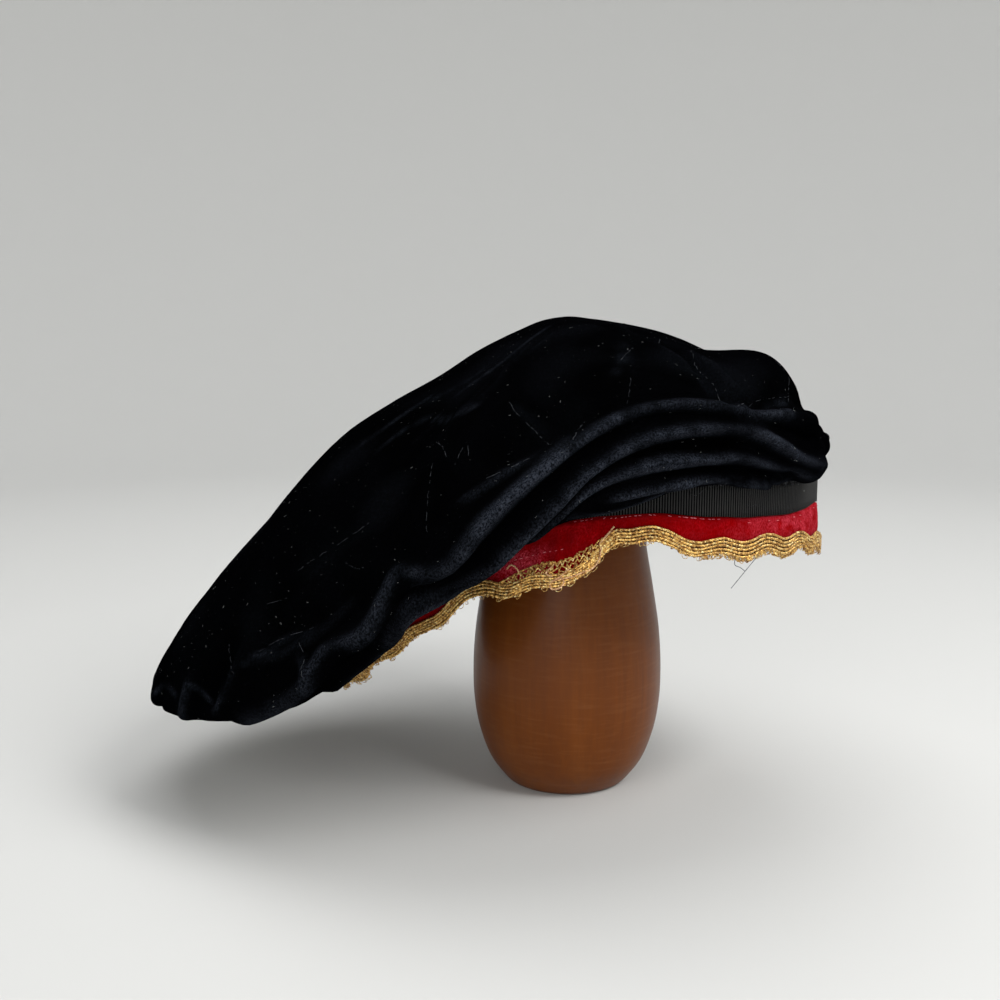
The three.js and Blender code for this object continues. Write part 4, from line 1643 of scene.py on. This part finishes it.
@dataclass
class Crown:
    """The black velvet crown, from the hem behind the ribbon to the closed top."""

    form: CrownForm
    finishes: Finishes
    near_from: float = -14.0
    near_to: float = 190.0
    near_step: float = 0.8
    far_step: float = 1.5
    split_share: float = 0.5
    low_rows: int = 92
    high_rows: int = 56
    inner_rows: int = 60
    inner_high_rows: int = 14
    least_wall: float = 0.9
    droop: float = 2.6
    droop_angle: float = 83.5
    puckers: int = 62
    pucker_height: float = 0.9
    seat_depth: float = 1.2
    creases: Wrinkles = Wrinkles(0.75, 11.0, 31.0)
    fine_creases: Wrinkles = Wrinkles(0.32, 4.6, -17.0)
    billows: Wrinkles = Wrinkles(1.3, 52.0, 90.0)
    dimples: Wrinkles = Wrinkles(0.5, 19.0, -55.0)
    # Noise that breaks up the painted sheen: on the crests, in blotches and along the sheen bands
    crest_patches: Wrinkles = Wrinkles(0.8, 14.0, 12.0)
    small_patches: Wrinkles = Wrinkles(0.7, 4.0, -41.0)
    broad_patches: Wrinkles = Wrinkles(2.4, 30.0, -70.0)
    sheen_band_patches: Wrinkles = Wrinkles(1.2, 9.0, 33.0)

    def angles(self) -> Array:
        """Columns of the mesh, closer together on the near side.

        Returns:
            The angles, once round the cap.
        """
        near = np.arange(self.near_from, self.near_to, self.near_step)
        end = self.near_from + 360
        count = int((end - self.near_to) / self.far_step)
        return np.concatenate([near, np.linspace(self.near_to, end, count, endpoint=False)])

    def shares(self, first: float, last: float, low_rows: int, high_rows: int) -> Array:
        """Rows of the mesh.

        Args:
            first: The lowest row's share.
            last: The highest row's share.
            low_rows: The number of rows below the middle share.
            high_rows: The number of rows from the middle share up.

        Returns:
            The rows' shares.
        """
        return np.concatenate([np.linspace(first, self.split_share, low_rows, endpoint=False),
                               np.linspace(self.split_share, last, high_rows)])

    def drooped(self, angle: Array, share: Array) -> Array:
        """The smooth crown, with its lowest roll hanging over the ribbon where it does.

        Args:
            angle: Each vertex's angle.
            share: Each vertex's share.

        Returns:
            The points.
        """
        base = self.form.smooth(angle, share)
        there = falling(np.abs(angle - self.droop_angle), 3, 9)
        base[..., 2] -= self.droop * there * (rising(share, 0.01, 0.08) * falling(share, 0.19, 0.12))
        return base

    def cloth_lift(self, angle: Array, share: Array, points: Array) -> Array:
        """Folds and wrinkles that the solids leave out.

        Args:
            angle: Each vertex's angle.
            share: Each vertex's share.
            points: The smooth surface's points.

        Returns:
            The lift of each vertex, in millimetres.
        """
        lift = self.form.fold_lift(points, FINE_FOLDS)
        drawn = points * np.array([0.45, 0.8, 1.0])
        low, top = falling(share, 0.42, 0.16), falling(share, 0.8, 0.12)
        lift += self.creases.at(drawn) * low
        lift += self.fine_creases.at(drawn) * (0.35 + 0.65 * low)
        lift += self.billows.at(points) * top
        lift += self.dimples.at(points) * top
        wander = rough(np.stack([angle * 1.4, share * 0, share * 0], -1), 9.0)
        pucker = 0.5 + 0.5 * np.cos(np.radians(angle * self.puckers) + 2.5 * wander)
        lift += self.pucker_height * pucker * rising(share, 0, 0.03) * falling(share, 0.04, 0.12)
        near_end = np.cos(np.radians(np.clip(self.form.edge.away(angle) * 2, 0, 90)))
        seated = near_end * falling(share, 0.2, 0.2)
        return lift * (1 - 0.8 * seated) - self.seat_depth * seated * rising(share, 0, 0.1)

    def wear_and_sheen(self, angle: Array, share: Array, points: Array) -> Array:
        """The painted sheen at each vertex: painted highlights on the rolls' crests, most on the rolls
        that face the viewer, painted shade in the valleys, and painted sheen bands and blotches.

        Args:
            angle: Each vertex's angle.
            share: Each vertex's share.
            points: The smooth surface's points.

        Returns:
            One value from 0 to 1 for each vertex.
        """
        rolls, valleys = np.zeros(points.shape[:-1]), np.zeros(points.shape[:-1])
        off = self.form.edge.away(angle)
        left, right = rising(off, 104, 30), falling(off, 28, 20)
        # Painted highlights on the crests of the rolls, kept dark in the valleys as painted shade
        for fold in MAIN_FOLDS + FINE_FOLDS:
            profile = self.form.fold_profile(points, fold)
            if fold.height < 0:
                valleys = np.maximum(valleys, profile)
            else:
                power = 4.4 + 2.6 * left if fold.half_width > 4 else 1.5
                rolls = np.maximum(rolls, profile ** power)
        patchy = 0.8 + self.crest_patches.at(points) + self.small_patches.at(points)
        # Faint painted sheen blotches over the whole outer side
        body = 0.07 * np.clip(self.broad_patches.at(points) - 0.2, 0, 1)
        crest_sheen = rolls * (1 - 0.92 * valleys) * np.clip(patchy, 0.3, 1.15)
        crest_sheen = crest_sheen * (1 - 0.5 * left) * (1 - 0.8 * right)
        # Painted sheen along the sheen bands
        brushed = np.zeros(points.shape[:-1])
        for band in SHEEN_BANDS:
            brushed = np.maximum(brushed, band.height * self.form.fold_profile(points, band))
        brushed = brushed * np.clip(0.8 + self.sheen_band_patches.at(points), 0.2, 1.2)
        low = falling(share, 0.43, 0.1)
        return np.clip(np.maximum(crest_sheen * (0.06 + 0.94 * low), brushed) + body, 0, 1)

    def surface(self, angle: Array, share: Array) -> Array:
        """The crown's outer surface with all its folds.

        Args:
            angle: Each point's angle.
            share: Each point's share.

        Returns:
            The points.
        """
        base = self.drooped(angle, share)
        lift = self.form.main_lift(base) + self.cloth_lift(angle, share, base)
        lift *= smooth_step(share / self.form.folds_from)
        return base + self.form.outward(angle, share) * lift[..., None]

    def inside(self, angle: Array, share: Array) -> Array:
        """The velvet's back, without the finer folds save where they would come through.

        Args:
            angle: Each point's angle.
            share: Each point's share.

        Returns:
            The points.
        """
        base = self.drooped(angle, share)
        dips = np.minimum(self.cloth_lift(angle, share, base) + VELVET_WALL - self.least_wall, 0)
        lift = (self.form.main_lift(base) + dips) * smooth_step(share / self.form.folds_from)
        return base + self.form.outward(angle, share) * (lift - VELVET_WALL)[..., None]

    def build(self) -> Piece:
        """Builds the crown's mesh and dresses it.

        Returns:
            The piece.
        """
        edge, angles = self.form.edge, self.angles()
        count = len(angles)
        rows = self.shares(0.006, 0.985, self.low_rows, self.high_rows)
        inner_rows = self.shares(0.03, 0.975, self.inner_rows, self.inner_high_rows)
        angle, share = np.meshgrid(angles, rows)
        outer, inner = self.surface(angle, share), self.inside(*np.meshgrid(angles, inner_rows))
        ribbon_to = edge.ribbon_to(angles)
        foot = ribbon_to - RIBBON_OVER_RED + CLOTH_GAP
        hem_out, hem_in = -CLOTH_GAP, -CLOTH_GAP - VELVET_WALL
        hem = [
            edge.point(angles, ribbon_to + 1, hem_in),
            edge.point(angles, foot, hem_in),
            edge.point(angles, foot, hem_out),
            edge.point(angles, (foot + ribbon_to) / 2, hem_out),
            self.form.seam(angles),
        ]
        rings = np.concatenate([inner[::-1], hem, outer])
        top_z = self.form.smooth(0, 1)[2]
        points = np.concatenate([rings.reshape(-1, 3), [[0, 0, top_z], [0, 0, top_z - VELVET_WALL]]])
        faces = ring_faces(len(rings), count)
        top, under, last = len(points) - 2, len(points) - 1, (len(rings) - 1) * count
        for k in range(count):
            n = (k + 1) % count
            faces += [(last + k, last + n, top), (n, k, under)]
        made = mesh_object("crown_velvet", points, faces)
        first = (len(inner) + len(hem)) * count
        outside, wear_and_sheen = np.zeros(len(points)), np.zeros(len(points))
        outside[first:top] = 1
        # Painted sheen for the outer side's vertices
        wear_and_sheen[first:top] = self.wear_and_sheen(angle, share, self.form.smooth(angle, share)).ravel()
        store(made, "wear_and_sheen", wear_and_sheen)
        store(made, "outside", outside)
        recalculate_normals(made)
        made.data.materials.append(self.finishes.velvet)
        made.data.materials.append(self.finishes.backing_and_groove_shade)
        back = len(inner) * count
        numbers = np.array([face.vertices[0] < back for face in made.data.polygons], int)
        made.data.polygons.foreach_set("material_index", numbers)
        return place_piece(made, Slot.VELVET, "crown")


@dataclass
class Ribbon:
    """The black grosgrain ribbon over the joint: a flat strip with ribs across it."""

    edge: OpeningEdge
    finishes: Finishes
    rib_pitch: float = 1.0
    rib_radius: float = 0.28
    rib_sinks: float = 0.06
    body_wall: float = 0.5

    def build(self) -> Piece:
        """Builds the ribbon's strip and ribs, and joins them.

        Returns:
            The piece.
        """
        angles = self.edge.even_angles(self.rib_pitch / 2, self.edge.ribbon_from)
        low, high = self.edge.ribbon_from(angles), self.edge.ribbon_to(angles)
        section = [(share, self.body_wall) for share in np.linspace(0, 1, 7)]
        section += [(share, 0.0) for share in (1, 0.5, 0)]
        rings = [self.edge.point(angles, low + (high - low) * share, out) for share, out in section]
        # The strip under the ribs is near black, as painted shade in the grooves
        strip = closed_strip("ribbon_strip", rings, self.finishes.backing_and_groove_shade)
        whole = joined("grosgrain_ribbon", [strip, self.ribs()])
        return place_piece(whole, Slot.RIBBON, "ribbon_band")

    def ribs(self) -> Piece:
        """The ribs, one bar across the ribbon at each step.

        Returns:
            The ribs as one object.
        """
        angles = self.edge.even_angles(self.rib_pitch, self.edge.ribbon_from)
        low, high = self.edge.ribbon_from(angles), self.edge.ribbon_to(angles)
        middle = self.edge.point(angles, (low + high) / 2, self.body_wall - self.rib_sinks)
        _, rise, outward = self.edge.directions(angles)
        return lay_bars("ribbon_ribs", self.finishes.ribbon, middle, rise, outward,
                        Bar_length=float(np.mean(high - low)) * MM,
                        Bar_radius=self.rib_radius * MM, Flatness=1.1, Unevenness=0.0, Sides=8,
                        Rows=4)


@dataclass
class RedBand:
    """The red velvet band below the ribbon, folded double, with its stitches."""

    edge: OpeningEdge
    finishes: Finishes
    step: float = 1.1
    rows: int = 15
    pleats_angle: float = 94.0
    # Where the painted light over the loose part is centred
    flare_angle: float = 105.0
    stitch_pitch: float = 1.7
    stitches_thin_to: float = 61.0
    hem_row_from: float = 96.0
    hem_row_to: float = 107.6
    hem_row_step: float = 1.15
    crumples: Wrinkles = Wrinkles(0.28, 7.0)
    fine_crumples: Wrinkles = Wrinkles(0.16, 2.6, 40.0)
    sheen_mottle: Wrinkles = Wrinkles(0.5, 6.0, 5.0)
    fine_sheen_mottle: Wrinkles = Wrinkles(0.6, 2.4, -8.0)

    def build(self) -> Piece:
        """Builds the band as one closed strip.

        Returns:
            The piece.
        """
        edge = self.edge
        angles = edge.even_angles(self.step, edge.middle)
        low, hem = edge.ribbon_from(angles), edge.hem(angles)
        top, back = edge.ribbon_to(angles) - RIBBON_OVER_RED, -CLOTH_GAP - RED_WALL
        section = [(top, back), (top, -CLOTH_GAP), (low - CLOTH_GAP, -CLOTH_GAP)]
        pleated = falling(np.abs(edge.away(angles) - self.pleats_angle), 6, 6)
        for share in np.linspace(0, 1, self.rows):
            up = (low - 0.8) * (1 - share) + (hem + 0.4) * share
            swell = RED_SWELL * np.sin(np.pi * (0.16 + 0.7 * share)) ** 0.8
            seat = edge.point(angles, up, swell)
            crumple = self.crumples.at(seat) + self.fine_crumples.at(seat)
            sway = rough(seat - 20.0, 8.0)
            crumple += 0.45 * pleated * np.sin(np.radians(angles * 105 + 60 * sway))
            section.append((up, swell + crumple * math.sin(math.pi * share)))
        lowest = len(section) - 1
        section += [(hem, back / 2), (hem + 0.5, back), (low / 2, back)]
        rings = [edge.point(angles, up, out) for up, out in section]
        made = closed_strip("red_velvet_band", rings, self.finishes.red)
        # Painted sheen of each row, for the velvet's base colour
        store(made, "wear_and_sheen", np.array([self.painted_sheen(angles, row, rings[lowest])
                                      for row in rings]).ravel())
        return place_piece(made, Slot.RED, "red_band")

    def painted_sheen(self, angles: Array, row: Array, lowest: Array) -> Array:
        """The painted sheen along a row of the band: painted light towards the high end and over the
        low rows of the loose part, with a faint sheen elsewhere.

        Args:
            angles: The row's angles.
            row: The row's points.
            lowest: The points of the outer side's lowest row.

        Returns:
            One value from 0 to 1 for each point.
        """
        end = self.edge.away(angles)
        flared = np.exp(-((end - self.flare_angle) / 4) ** 2)
        low = falling(np.linalg.norm(row - lowest, axis=-1), 9, 3.5)
        sheen_mottle = 0.5 + self.sheen_mottle.at(row) + self.fine_sheen_mottle.at(row)
        # Painted light: lighter towards the high end, and strongly over the loose part's low rows
        return np.clip((0.85 * falling(end, 38, 26) + 4.0 * flared * low + 0.1) * sheen_mottle, 0, 1)

    def stitches(self) -> Piece:
        """Small stitches along the band's top edge, and a short row over the loose part.

        Returns:
            The piece.
        """
        edge = self.edge
        draw = np.random.default_rng(13)
        angles = edge.even_angles(self.stitch_pitch, edge.ribbon_from)
        kept = np.where(edge.away(angles) < self.stitches_thin_to, 0.2, 0.72)
        angles = angles[draw.random(len(angles)) < kept]
        angles = angles + draw.normal(0, 0.25, len(angles))
        sway = rough(edge.point(angles, 0.0, 0.0), 9.0)
        up = edge.ribbon_from(angles) - 0.55 - 1.2 * falling(edge.away(angles), 52, 12) + 0.4 * sway
        row = np.arange(self.hem_row_from, self.hem_row_to, self.hem_row_step)
        up = np.concatenate([up, 8.1 + 0.7 * rising(row, self.hem_row_from, 4)])
        out = np.repeat([0.9 * RED_SWELL, RED_SWELL + 0.3], [len(angles), len(row)])
        angles = np.concatenate([angles, row])
        _, _, outward = edge.directions(angles)
        made = lay_bars("red_band_stitches", self.finishes.pale_thread,
                        edge.point(angles, up, out), edge.along(angles, up), outward,
                        Bar_length=0.0009, Bar_radius=0.00013, Unevenness=0.45, Sides=5, Rows=1)
        return place_piece(made, Slot.RED)


@dataclass
class Braid:
    """The wavy braid of metallic thread over the red band's lower edge."""

    edge: OpeningEdge
    finishes: Finishes
    cords: int = 5
    step: float = 1.0
    top_up: float = 7.0
    loose_top_up: float = 2.6
    cords_over_hem: float = 0.7
    loose_drop: float = 1.5
    cords_out: float = 0.85
    cord_sway: Wrinkles = Wrinkles(0.25, 4.0)
    cord_lift: Wrinkles = Wrinkles(0.25, 6.0, 50.0)
    cross_pitch: float = 2.1
    net_rows: int = 4
    net_turns: int = 46
    yarn_ends: int = 820
    fuller_yarns: tuple[float, float] = (20.0, 66.0)
    wire_loops: int = 180
    fuller_loops: tuple[float, float] = (16.0, 62.0)
    reach_out: float = 85.0

    def wave(self, angle: Array) -> Array:
        """The braid's wave at each angle, from -1 to 1."""
        return np.sin(np.radians(angle - BRAID_WAVE_START) * BRAID_WAVES)

    def reach(self, angle: Array) -> tuple[Array, Array]:
        """How far the lowest and the highest cord lie above the braid's foot.

        Args:
            angle: The angles.

        Returns:
            The two heights at each angle.
        """
        loose = self.edge.flared(angle)
        foot = self.edge.hem(angle) + self.cords_over_hem - self.loose_drop * loose
        top = self.edge.braid_top(angle)
        return foot, top + (self.loose_top_up - top) * loose

    def spot(self, angle: Array, up: Array, out: Array) -> Array:
        """Points over the red band, up from the braid's waving foot and out from the band."""
        foot = -BRAID_BELOW_BAND + BRAID_WAVE_HEIGHT * self.wave(angle)
        return self.edge.point(angle, foot + up, RED_SWELL + CLOTH_GAP + out)

    def build(self) -> list[Piece]:
        """Builds the cords on a dark web, which is their core and painted shade between them, the
        cross yarns, the loops and the yarn ends.

        Returns:
            The pieces.
        """
        angles = self.edge.even_angles(self.step, self.edge.middle)
        foot, top = self.reach(angles)
        lines = []
        for i in range(self.cords):
            up = foot + (top - foot) * i / (self.cords - 1)
            ground = self.spot(angles, up, 9.0 * i)
            lines.append(self.spot(angles, up + self.cord_sway.at(ground),
                                   self.cords_out + self.cord_lift.at(ground)))
        cords = lay_cord("gold_cords", self.finishes.gold, lines, 0.36, 0.2, 2.3, closed=True,
                         Step=0.00045)
        # The web shows through the gaps between cords as painted shade
        section = ((0.0, 0.05), (0.5, 0.0), (1.0, 0.05), (1.0, 0.35), (0.5, 0.4), (0.0, 0.35))
        shade_web = closed_strip("braid_shade_web", [self.spot(angles, foot + (top - foot) * share, out)
                                         for share, out in section], self.finishes.shade_web)
        whole = joined("gold_braid_cords", [cords, shade_web])
        return [place_piece(whole, Slot.BRAID, "gold_braid"), self.cross_yarns(),
                self.netting(), self.curls(), self.loops(), self.rose_edge()]

    def cross_yarns(self) -> Piece:
        """Slanting yarns that bind the cords.

        Returns:
            The piece.
        """
        draw = np.random.default_rng(17)
        lines = []
        share = np.linspace(0, 1, 7)
        for start in self.edge.even_angles(self.cross_pitch, self.edge.middle):
            if self.edge.flared(start) > 0.2:
                continue
            slant = draw.uniform(0.4, 1.8)
            foot, top = self.reach(start)
            low, high = float(foot) - draw.uniform(0, 0.6), float(top) + draw.uniform(-0.4, 0.3)
            angle = start + slant * share + 0.35 * np.sin(share * 6.3 + start)
            out = 1.0 + 0.4 * np.sin(share * 15.7 + draw.uniform(0, 6.3))
            lines.append(self.spot(angle, low + (high - low) * share, out))
        return lay_threads("gold_cross_yarns", Slot.BRAID, self.finishes.gold, lines, 0.12)

    def netting(self) -> Piece:
        """The open net of zigzag yarn above the cords where the edge hangs loose.

        Returns:
            The piece.
        """
        draw = np.random.default_rng(29)
        lines = []
        start = self.edge.loose_angle + self.edge.loose_span * 0.8
        end = self.edge.loose_angle - self.edge.loose_span * 0.96
        for row in range(self.net_rows):
            count = self.net_turns + 5 * (row % 3)
            angle = np.linspace(start, end, count) + draw.normal(0, 0.28, count)
            loose = self.edge.flared(angle)
            middle = self.loose_top_up + 0.7 + 1.25 * row * (0.3 + 0.7 * loose)
            swing = np.where(np.arange(count) % 2 == 0, 1.0, -1.0) * draw.uniform(0.3, 1.3, count)
            up = np.minimum(middle + swing, self.top_up + 0.2 - 1.9 * rising(angle, 99, 4))
            lines.append(self.spot(angle, up, 0.8 + draw.normal(0, 0.15, count)))
        made = lay_cord("gold_netting", self.finishes.gold, lines, 0.17, 0.15, 1.6, Sides=4)
        return place_piece(made, Slot.BRAID)

    def rose_edge(self) -> Piece:
        """The pale rope along the loose part's edge, with its loops.

        Returns:
            The piece.
        """
        lines = [self.edge.route(route, 24) for route in ROSE_CORDS]
        made = lay_cord("rose_cord_edge", self.finishes.rose, lines, 0.2, 0.17, 2.1)
        return place_piece(made, Slot.BRAID)

    def curls(self) -> Piece:
        """Short curls that fill the braid's lower edge to an even level.

        Returns:
            The piece.
        """
        draw = np.random.default_rng(41)
        lines = []
        share = np.linspace(0, 1, 8)
        for _ in range(self.yarn_ends):
            angle = draw.uniform(*(self.fuller_yarns if draw.random() < 0.25 else (0, 360)))
            fuller = self.fuller_yarns[0] < angle < self.fuller_yarns[1]
            start = float(self.reach(angle)[0]) + draw.uniform(-0.4, 0.6)
            level = start - draw.uniform(0.2, 1.0) * (2.0 if fuller else 1.0)
            width = draw.uniform(-1.4, 1.4)
            curl = draw.uniform(-0.5, 0.7)
            up = start - (start - level) * np.sin(share * math.pi) ** draw.uniform(0.6, 1.5)
            bent = width * share + 0.5 * np.sin(share * 6.28 + curl)
            out = draw.uniform(0.1, 1.1) + curl * np.sin(share * math.pi)
            lines.append(self.spot(angle + np.degrees(bent / self.reach_out), up, out))
        return lay_threads("gold_yarn_ends", Slot.BRAID, self.finishes.gold, lines, 0.14)

    def loops(self) -> Piece:
        """Open wire loops and stray ends that stand off the lower edge.

        Returns:
            The piece.
        """
        draw = np.random.default_rng(73)
        lines = []
        turn = np.linspace(-0.4, 1.4, 15) * math.pi
        for _ in range(self.wire_loops):
            angle = draw.uniform(*(self.fuller_loops if draw.random() < 0.2 else (0, 360)))
            foot = float(self.reach(angle)[0])
            size = draw.uniform(0.5, 1.2)
            squash = draw.uniform(0.7, 1.2)
            up = foot + draw.uniform(-1.3, -0.4) - size * np.sin(turn)
            across = angle + np.degrees(size * squash * np.cos(turn) / self.reach_out)
            lines.append(self.spot(across, up, draw.uniform(0.2, 1.4) + 0.4 * np.cos(turn * 2)))
        return lay_threads("gold_wire_loops", Slot.BRAID, self.finishes.gold, lines, 0.11)


@dataclass
class Strays:
    """Loose threads, frayed ends, painted crease highlights and lint."""

    edge: OpeningEdge
    crown: Crown
    finishes: Finishes
    fray_count: int = 420

    def loose_threads(self) -> Piece:
        """The two dark threads that hang from the braid."""
        lines = [self.edge.route(route, 14) for route in LOOSE_THREADS]
        return lay_threads("loose_threads", Slot.RIBBON, self.finishes.black_thread, lines, 0.14, 5)

    def frays(self) -> Piece:
        """Frayed ends of the crown's cloth over the ribbon's upper edge.

        Returns:
            The piece.
        """
        draw = np.random.default_rng(5)
        lines = []
        share = np.linspace(0, 1, 5)
        for _ in range(self.fray_count):
            angle = draw.uniform(-30, 84) if draw.random() < 0.7 else draw.uniform(0, 360)
            top = float(self.edge.ribbon_to(angle))
            length = draw.uniform(0.6, 2.6)
            lean, curl = draw.normal(0, 0.7), draw.normal(0, 0.5)
            across = angle + lean * share + curl * np.sin(share * math.pi)
            up = top + 0.8 - length * share
            out = RIBBON_WALL + 0.25 + 0.7 * np.sin(share * math.pi) * draw.uniform(0.2, 1.2)
            lines.append(self.edge.point(across, up, out))
        lines += [self.edge.route(route, 12) for route in RIBBON_FRAYS]
        return lay_threads("ribbon_frays", Slot.RIBBON, self.finishes.fray, lines, 0.08, 3)

    def crease_highlights(self) -> Piece:
        """Thin pale threads along the creases, as painted highlights on their ridges.

        Returns:
            The piece.
        """
        draw = np.random.default_rng(61)
        lines = []
        for route in CREASE_HIGHLIGHTS:
            surface = self.crown.surface(*smooth_route(route, 10 * (len(route) - 1)).T)
            surface += draw.normal(0, 0.12, surface.shape)
            first = 0
            while first < len(surface) - 2:
                last = min(first + int(draw.integers(3, 9)), len(surface))
                lines.append(surface[first:last])
                first = last + int(draw.integers(0, 2))
        return lay_threads("crease_highlights", Slot.VELVET, self.finishes.mark, lines, 0.08)

    def lint(self, crown: Piece) -> Piece:
        """Dust fibres scattered over the crown's outer side.

        Args:
            crown: The crown's piece.

        Returns:
            The piece.
        """
        ground = bpy.data.objects.new("lint_ground", crown.data.copy())
        bpy.context.scene.collection.objects.link(ground)
        made = lint_tree("lint_scatter", self.finishes.lint).grow("crown_lint", ground)
        return place_piece(made, Slot.VELVET)

    def build(self, crown: Piece) -> list[Piece]:
        """Builds every loose piece."""
        return [self.loose_threads(), self.frays(), self.crease_highlights(), self.lint(crown)]


@dataclass
class Stand:
    """The turned stand: a flat foot, rounded sides and a domed top inside the crown."""

    finishes: Finishes
    foot_radius: float = 23.6
    foot_round: float = 1.2
    foot_rise: float = 0.25
    dome_radius: float = 27.0
    sections: tuple[tuple[float, float], ...] = (
        (2.2, 25.6), (8, 30), (20, 35), (34, 37.6), (47, 38), (63, 37), (80, 34.4), (96, 31.6),
        (116, 28.6), (140, 26.4), (158, 25),
    )

    def profile(self) -> Array:
        """The stand's profile, from its foot to its top.

        Returns:
            The profile's points, as (radius, 0, height).
        """
        heights, radii = np.array(self.sections, float).T
        rows = [(0.0, 0.0), (self.foot_radius - self.foot_round, 0.0),
                (self.foot_radius, self.foot_rise)]
        slopes = np.gradient(radii, heights)
        for i in range(len(heights) - 1):
            span = heights[i + 1] - heights[i]
            for s in np.linspace(0, 1, 10, endpoint=False):
                radius = blended(s, radii[i], slopes[i] * span, radii[i + 1], slopes[i + 1] * span)
                rows.append((radius, heights[i] + s * span))
        centre = STAND_TOP_Z - self.dome_radius
        start = math.acos(radii[-1] / self.dome_radius)
        for turn in np.linspace(start, math.pi / 2, 24)[:-1]:
            rows.append((self.dome_radius * math.cos(turn),
                         centre + self.dome_radius * math.sin(turn)))
        rows.append((0.0, STAND_TOP_Z))
        return np.array([(radius, 0.0, z) for radius, z in rows])

    def build(self) -> Piece:
        """Turns the profile and dresses the stand.

        Returns:
            The piece.
        """
        source = line_mesh("stand_profile", [self.profile()])
        made = turning_tree("wood_turning", self.finishes.wood).grow(
            "turned_stand", source, Sides=161, Rows=150)
        recalculate_normals(made)
        return place_piece(made, Slot.WOOD, "stand")


@dataclass
class Studio:
    """The plain floor and backdrop, the lights and the camera."""

    target: Triple = (-27.2, 0.0, 114.7)
    distance: float = 555.0
    pitch: float = 9.5
    lit_spot: Triple = (-0.02, 0.0, 0.11)
    floor_radius: float = 900.0
    floor_bend: float = 700.0
    wall_top: float = 2600.0
    floor_below: float = 0.05

    def aim(self, name: str, data: bpy.types.ID, place: Vector, look: Vector) -> Piece:
        """Adds a camera or light.

        Args:
            name: The object's name.
            data: The camera's or light's own data.
            place: Where it hangs, in metres.
            look: Where it looks.

        Returns:
            The object.
        """
        made = bpy.data.objects.new(name, data)
        bpy.context.scene.collection.objects.link(made)
        made.location = place
        made.rotation_mode = "QUATERNION"
        made.rotation_quaternion = look.to_track_quat("-Z", "Y")
        return made

    def camera(self) -> None:
        """Places the camera at the photograph's viewing angle."""
        data = bpy.data.cameras.new("camera")
        data.lens, data.sensor_width = 50, 36
        pitch = math.radians(self.pitch)
        look = Vector((0, math.cos(pitch), -math.sin(pitch)))
        place = (Vector(self.target) - look * self.distance) * MM
        bpy.context.scene.camera = self.aim("camera", data, place, look)

    def floor(self) -> None:
        """A pale floor that turns up into a backdrop, all round."""
        rows = [(self.floor_radius, 0.0)]
        for turn in np.linspace(0, math.pi / 2, 14)[1:]:
            rows.append((self.floor_radius + self.floor_bend * math.sin(turn),
                         self.floor_bend * (1 - math.cos(turn))))
        rows.append((self.floor_radius + self.floor_bend, self.wall_top))
        turns = np.radians(np.arange(0, 360, 3))
        rings = [np.stack([r * np.cos(turns), r * np.sin(turns),
                           np.full_like(turns, z - self.floor_below)], -1) for r, z in rows]
        points = np.concatenate([np.array(rings).reshape(-1, 3), [[0, 0, -self.floor_below]]])
        faces = ring_faces(len(rings), len(turns))
        faces += [(len(points) - 1, (k + 1) % len(turns), k) for k in range(len(turns))]
        made = mesh_object("pale_floor", points, faces)
        paint = bpy.data.materials.new("pale_floor_paint")
        paint.use_nodes = True
        skin = paint.node_tree.nodes["Principled BSDF"]
        skin.inputs["Base Color"].default_value = colour(0.56, 0.56, 0.545)
        skin.inputs["Roughness"].default_value = 0.9
        made.data.materials.append(paint)

    def light(self, name: str, place: Triple, size: float, power: float) -> None:
        """Adds a square area light that points at the object.

        Args:
            name: The light's name.
            place: Where it hangs, in metres.
            size: Its side, in metres.
            power: Its power, in watts.
        """
        data = bpy.data.lights.new(name, "AREA")
        data.size, data.energy = size, power
        self.aim(name, data, Vector(place), Vector(self.lit_spot) - Vector(place))

    def build(self) -> None:
        """Builds the whole studio."""
        self.camera()
        self.floor()
        self.light("key_light", (0.75, -0.55, 1.05), 0.7, 16.0)
        self.light("top_light", (-0.1, 0.25, 1.3), 1.1, 10.0)
        self.light("fill_light", (-0.45, -1.25, 0.4), 1.0, 9.0)
        bpy.context.scene.view_settings.view_transform = "Standard"
        world = bpy.data.worlds.new("studio")
        bpy.context.scene.world = world
        world.use_nodes = True
        world.node_tree.nodes["Background"].inputs[0].default_value = colour(0.9, 0.93, 1.0)
        world.node_tree.nodes["Background"].inputs[1].default_value = 0.45


def write_sizes() -> None:
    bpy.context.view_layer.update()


def main() -> None:
    """Builds every piece in order."""
    logging.basicConfig(level=logging.INFO, format="%(name)s %(message)s")
    finishes = Finishes()
    Studio().build()
    edge = OpeningEdge()
    form = CrownForm(edge)
    Stand(finishes).build()
    cap = Crown(form, finishes)
    crown = cap.build()
    ribbon = Ribbon(edge, finishes).build()
    band = RedBand(edge, finishes)
    red = band.build()
    stitches = band.stitches()
    braid = Braid(edge, finishes).build()
    strays = Strays(edge, cap, finishes).build(crown)
    write_sizes()


if __name__ == "__main__":
    main()
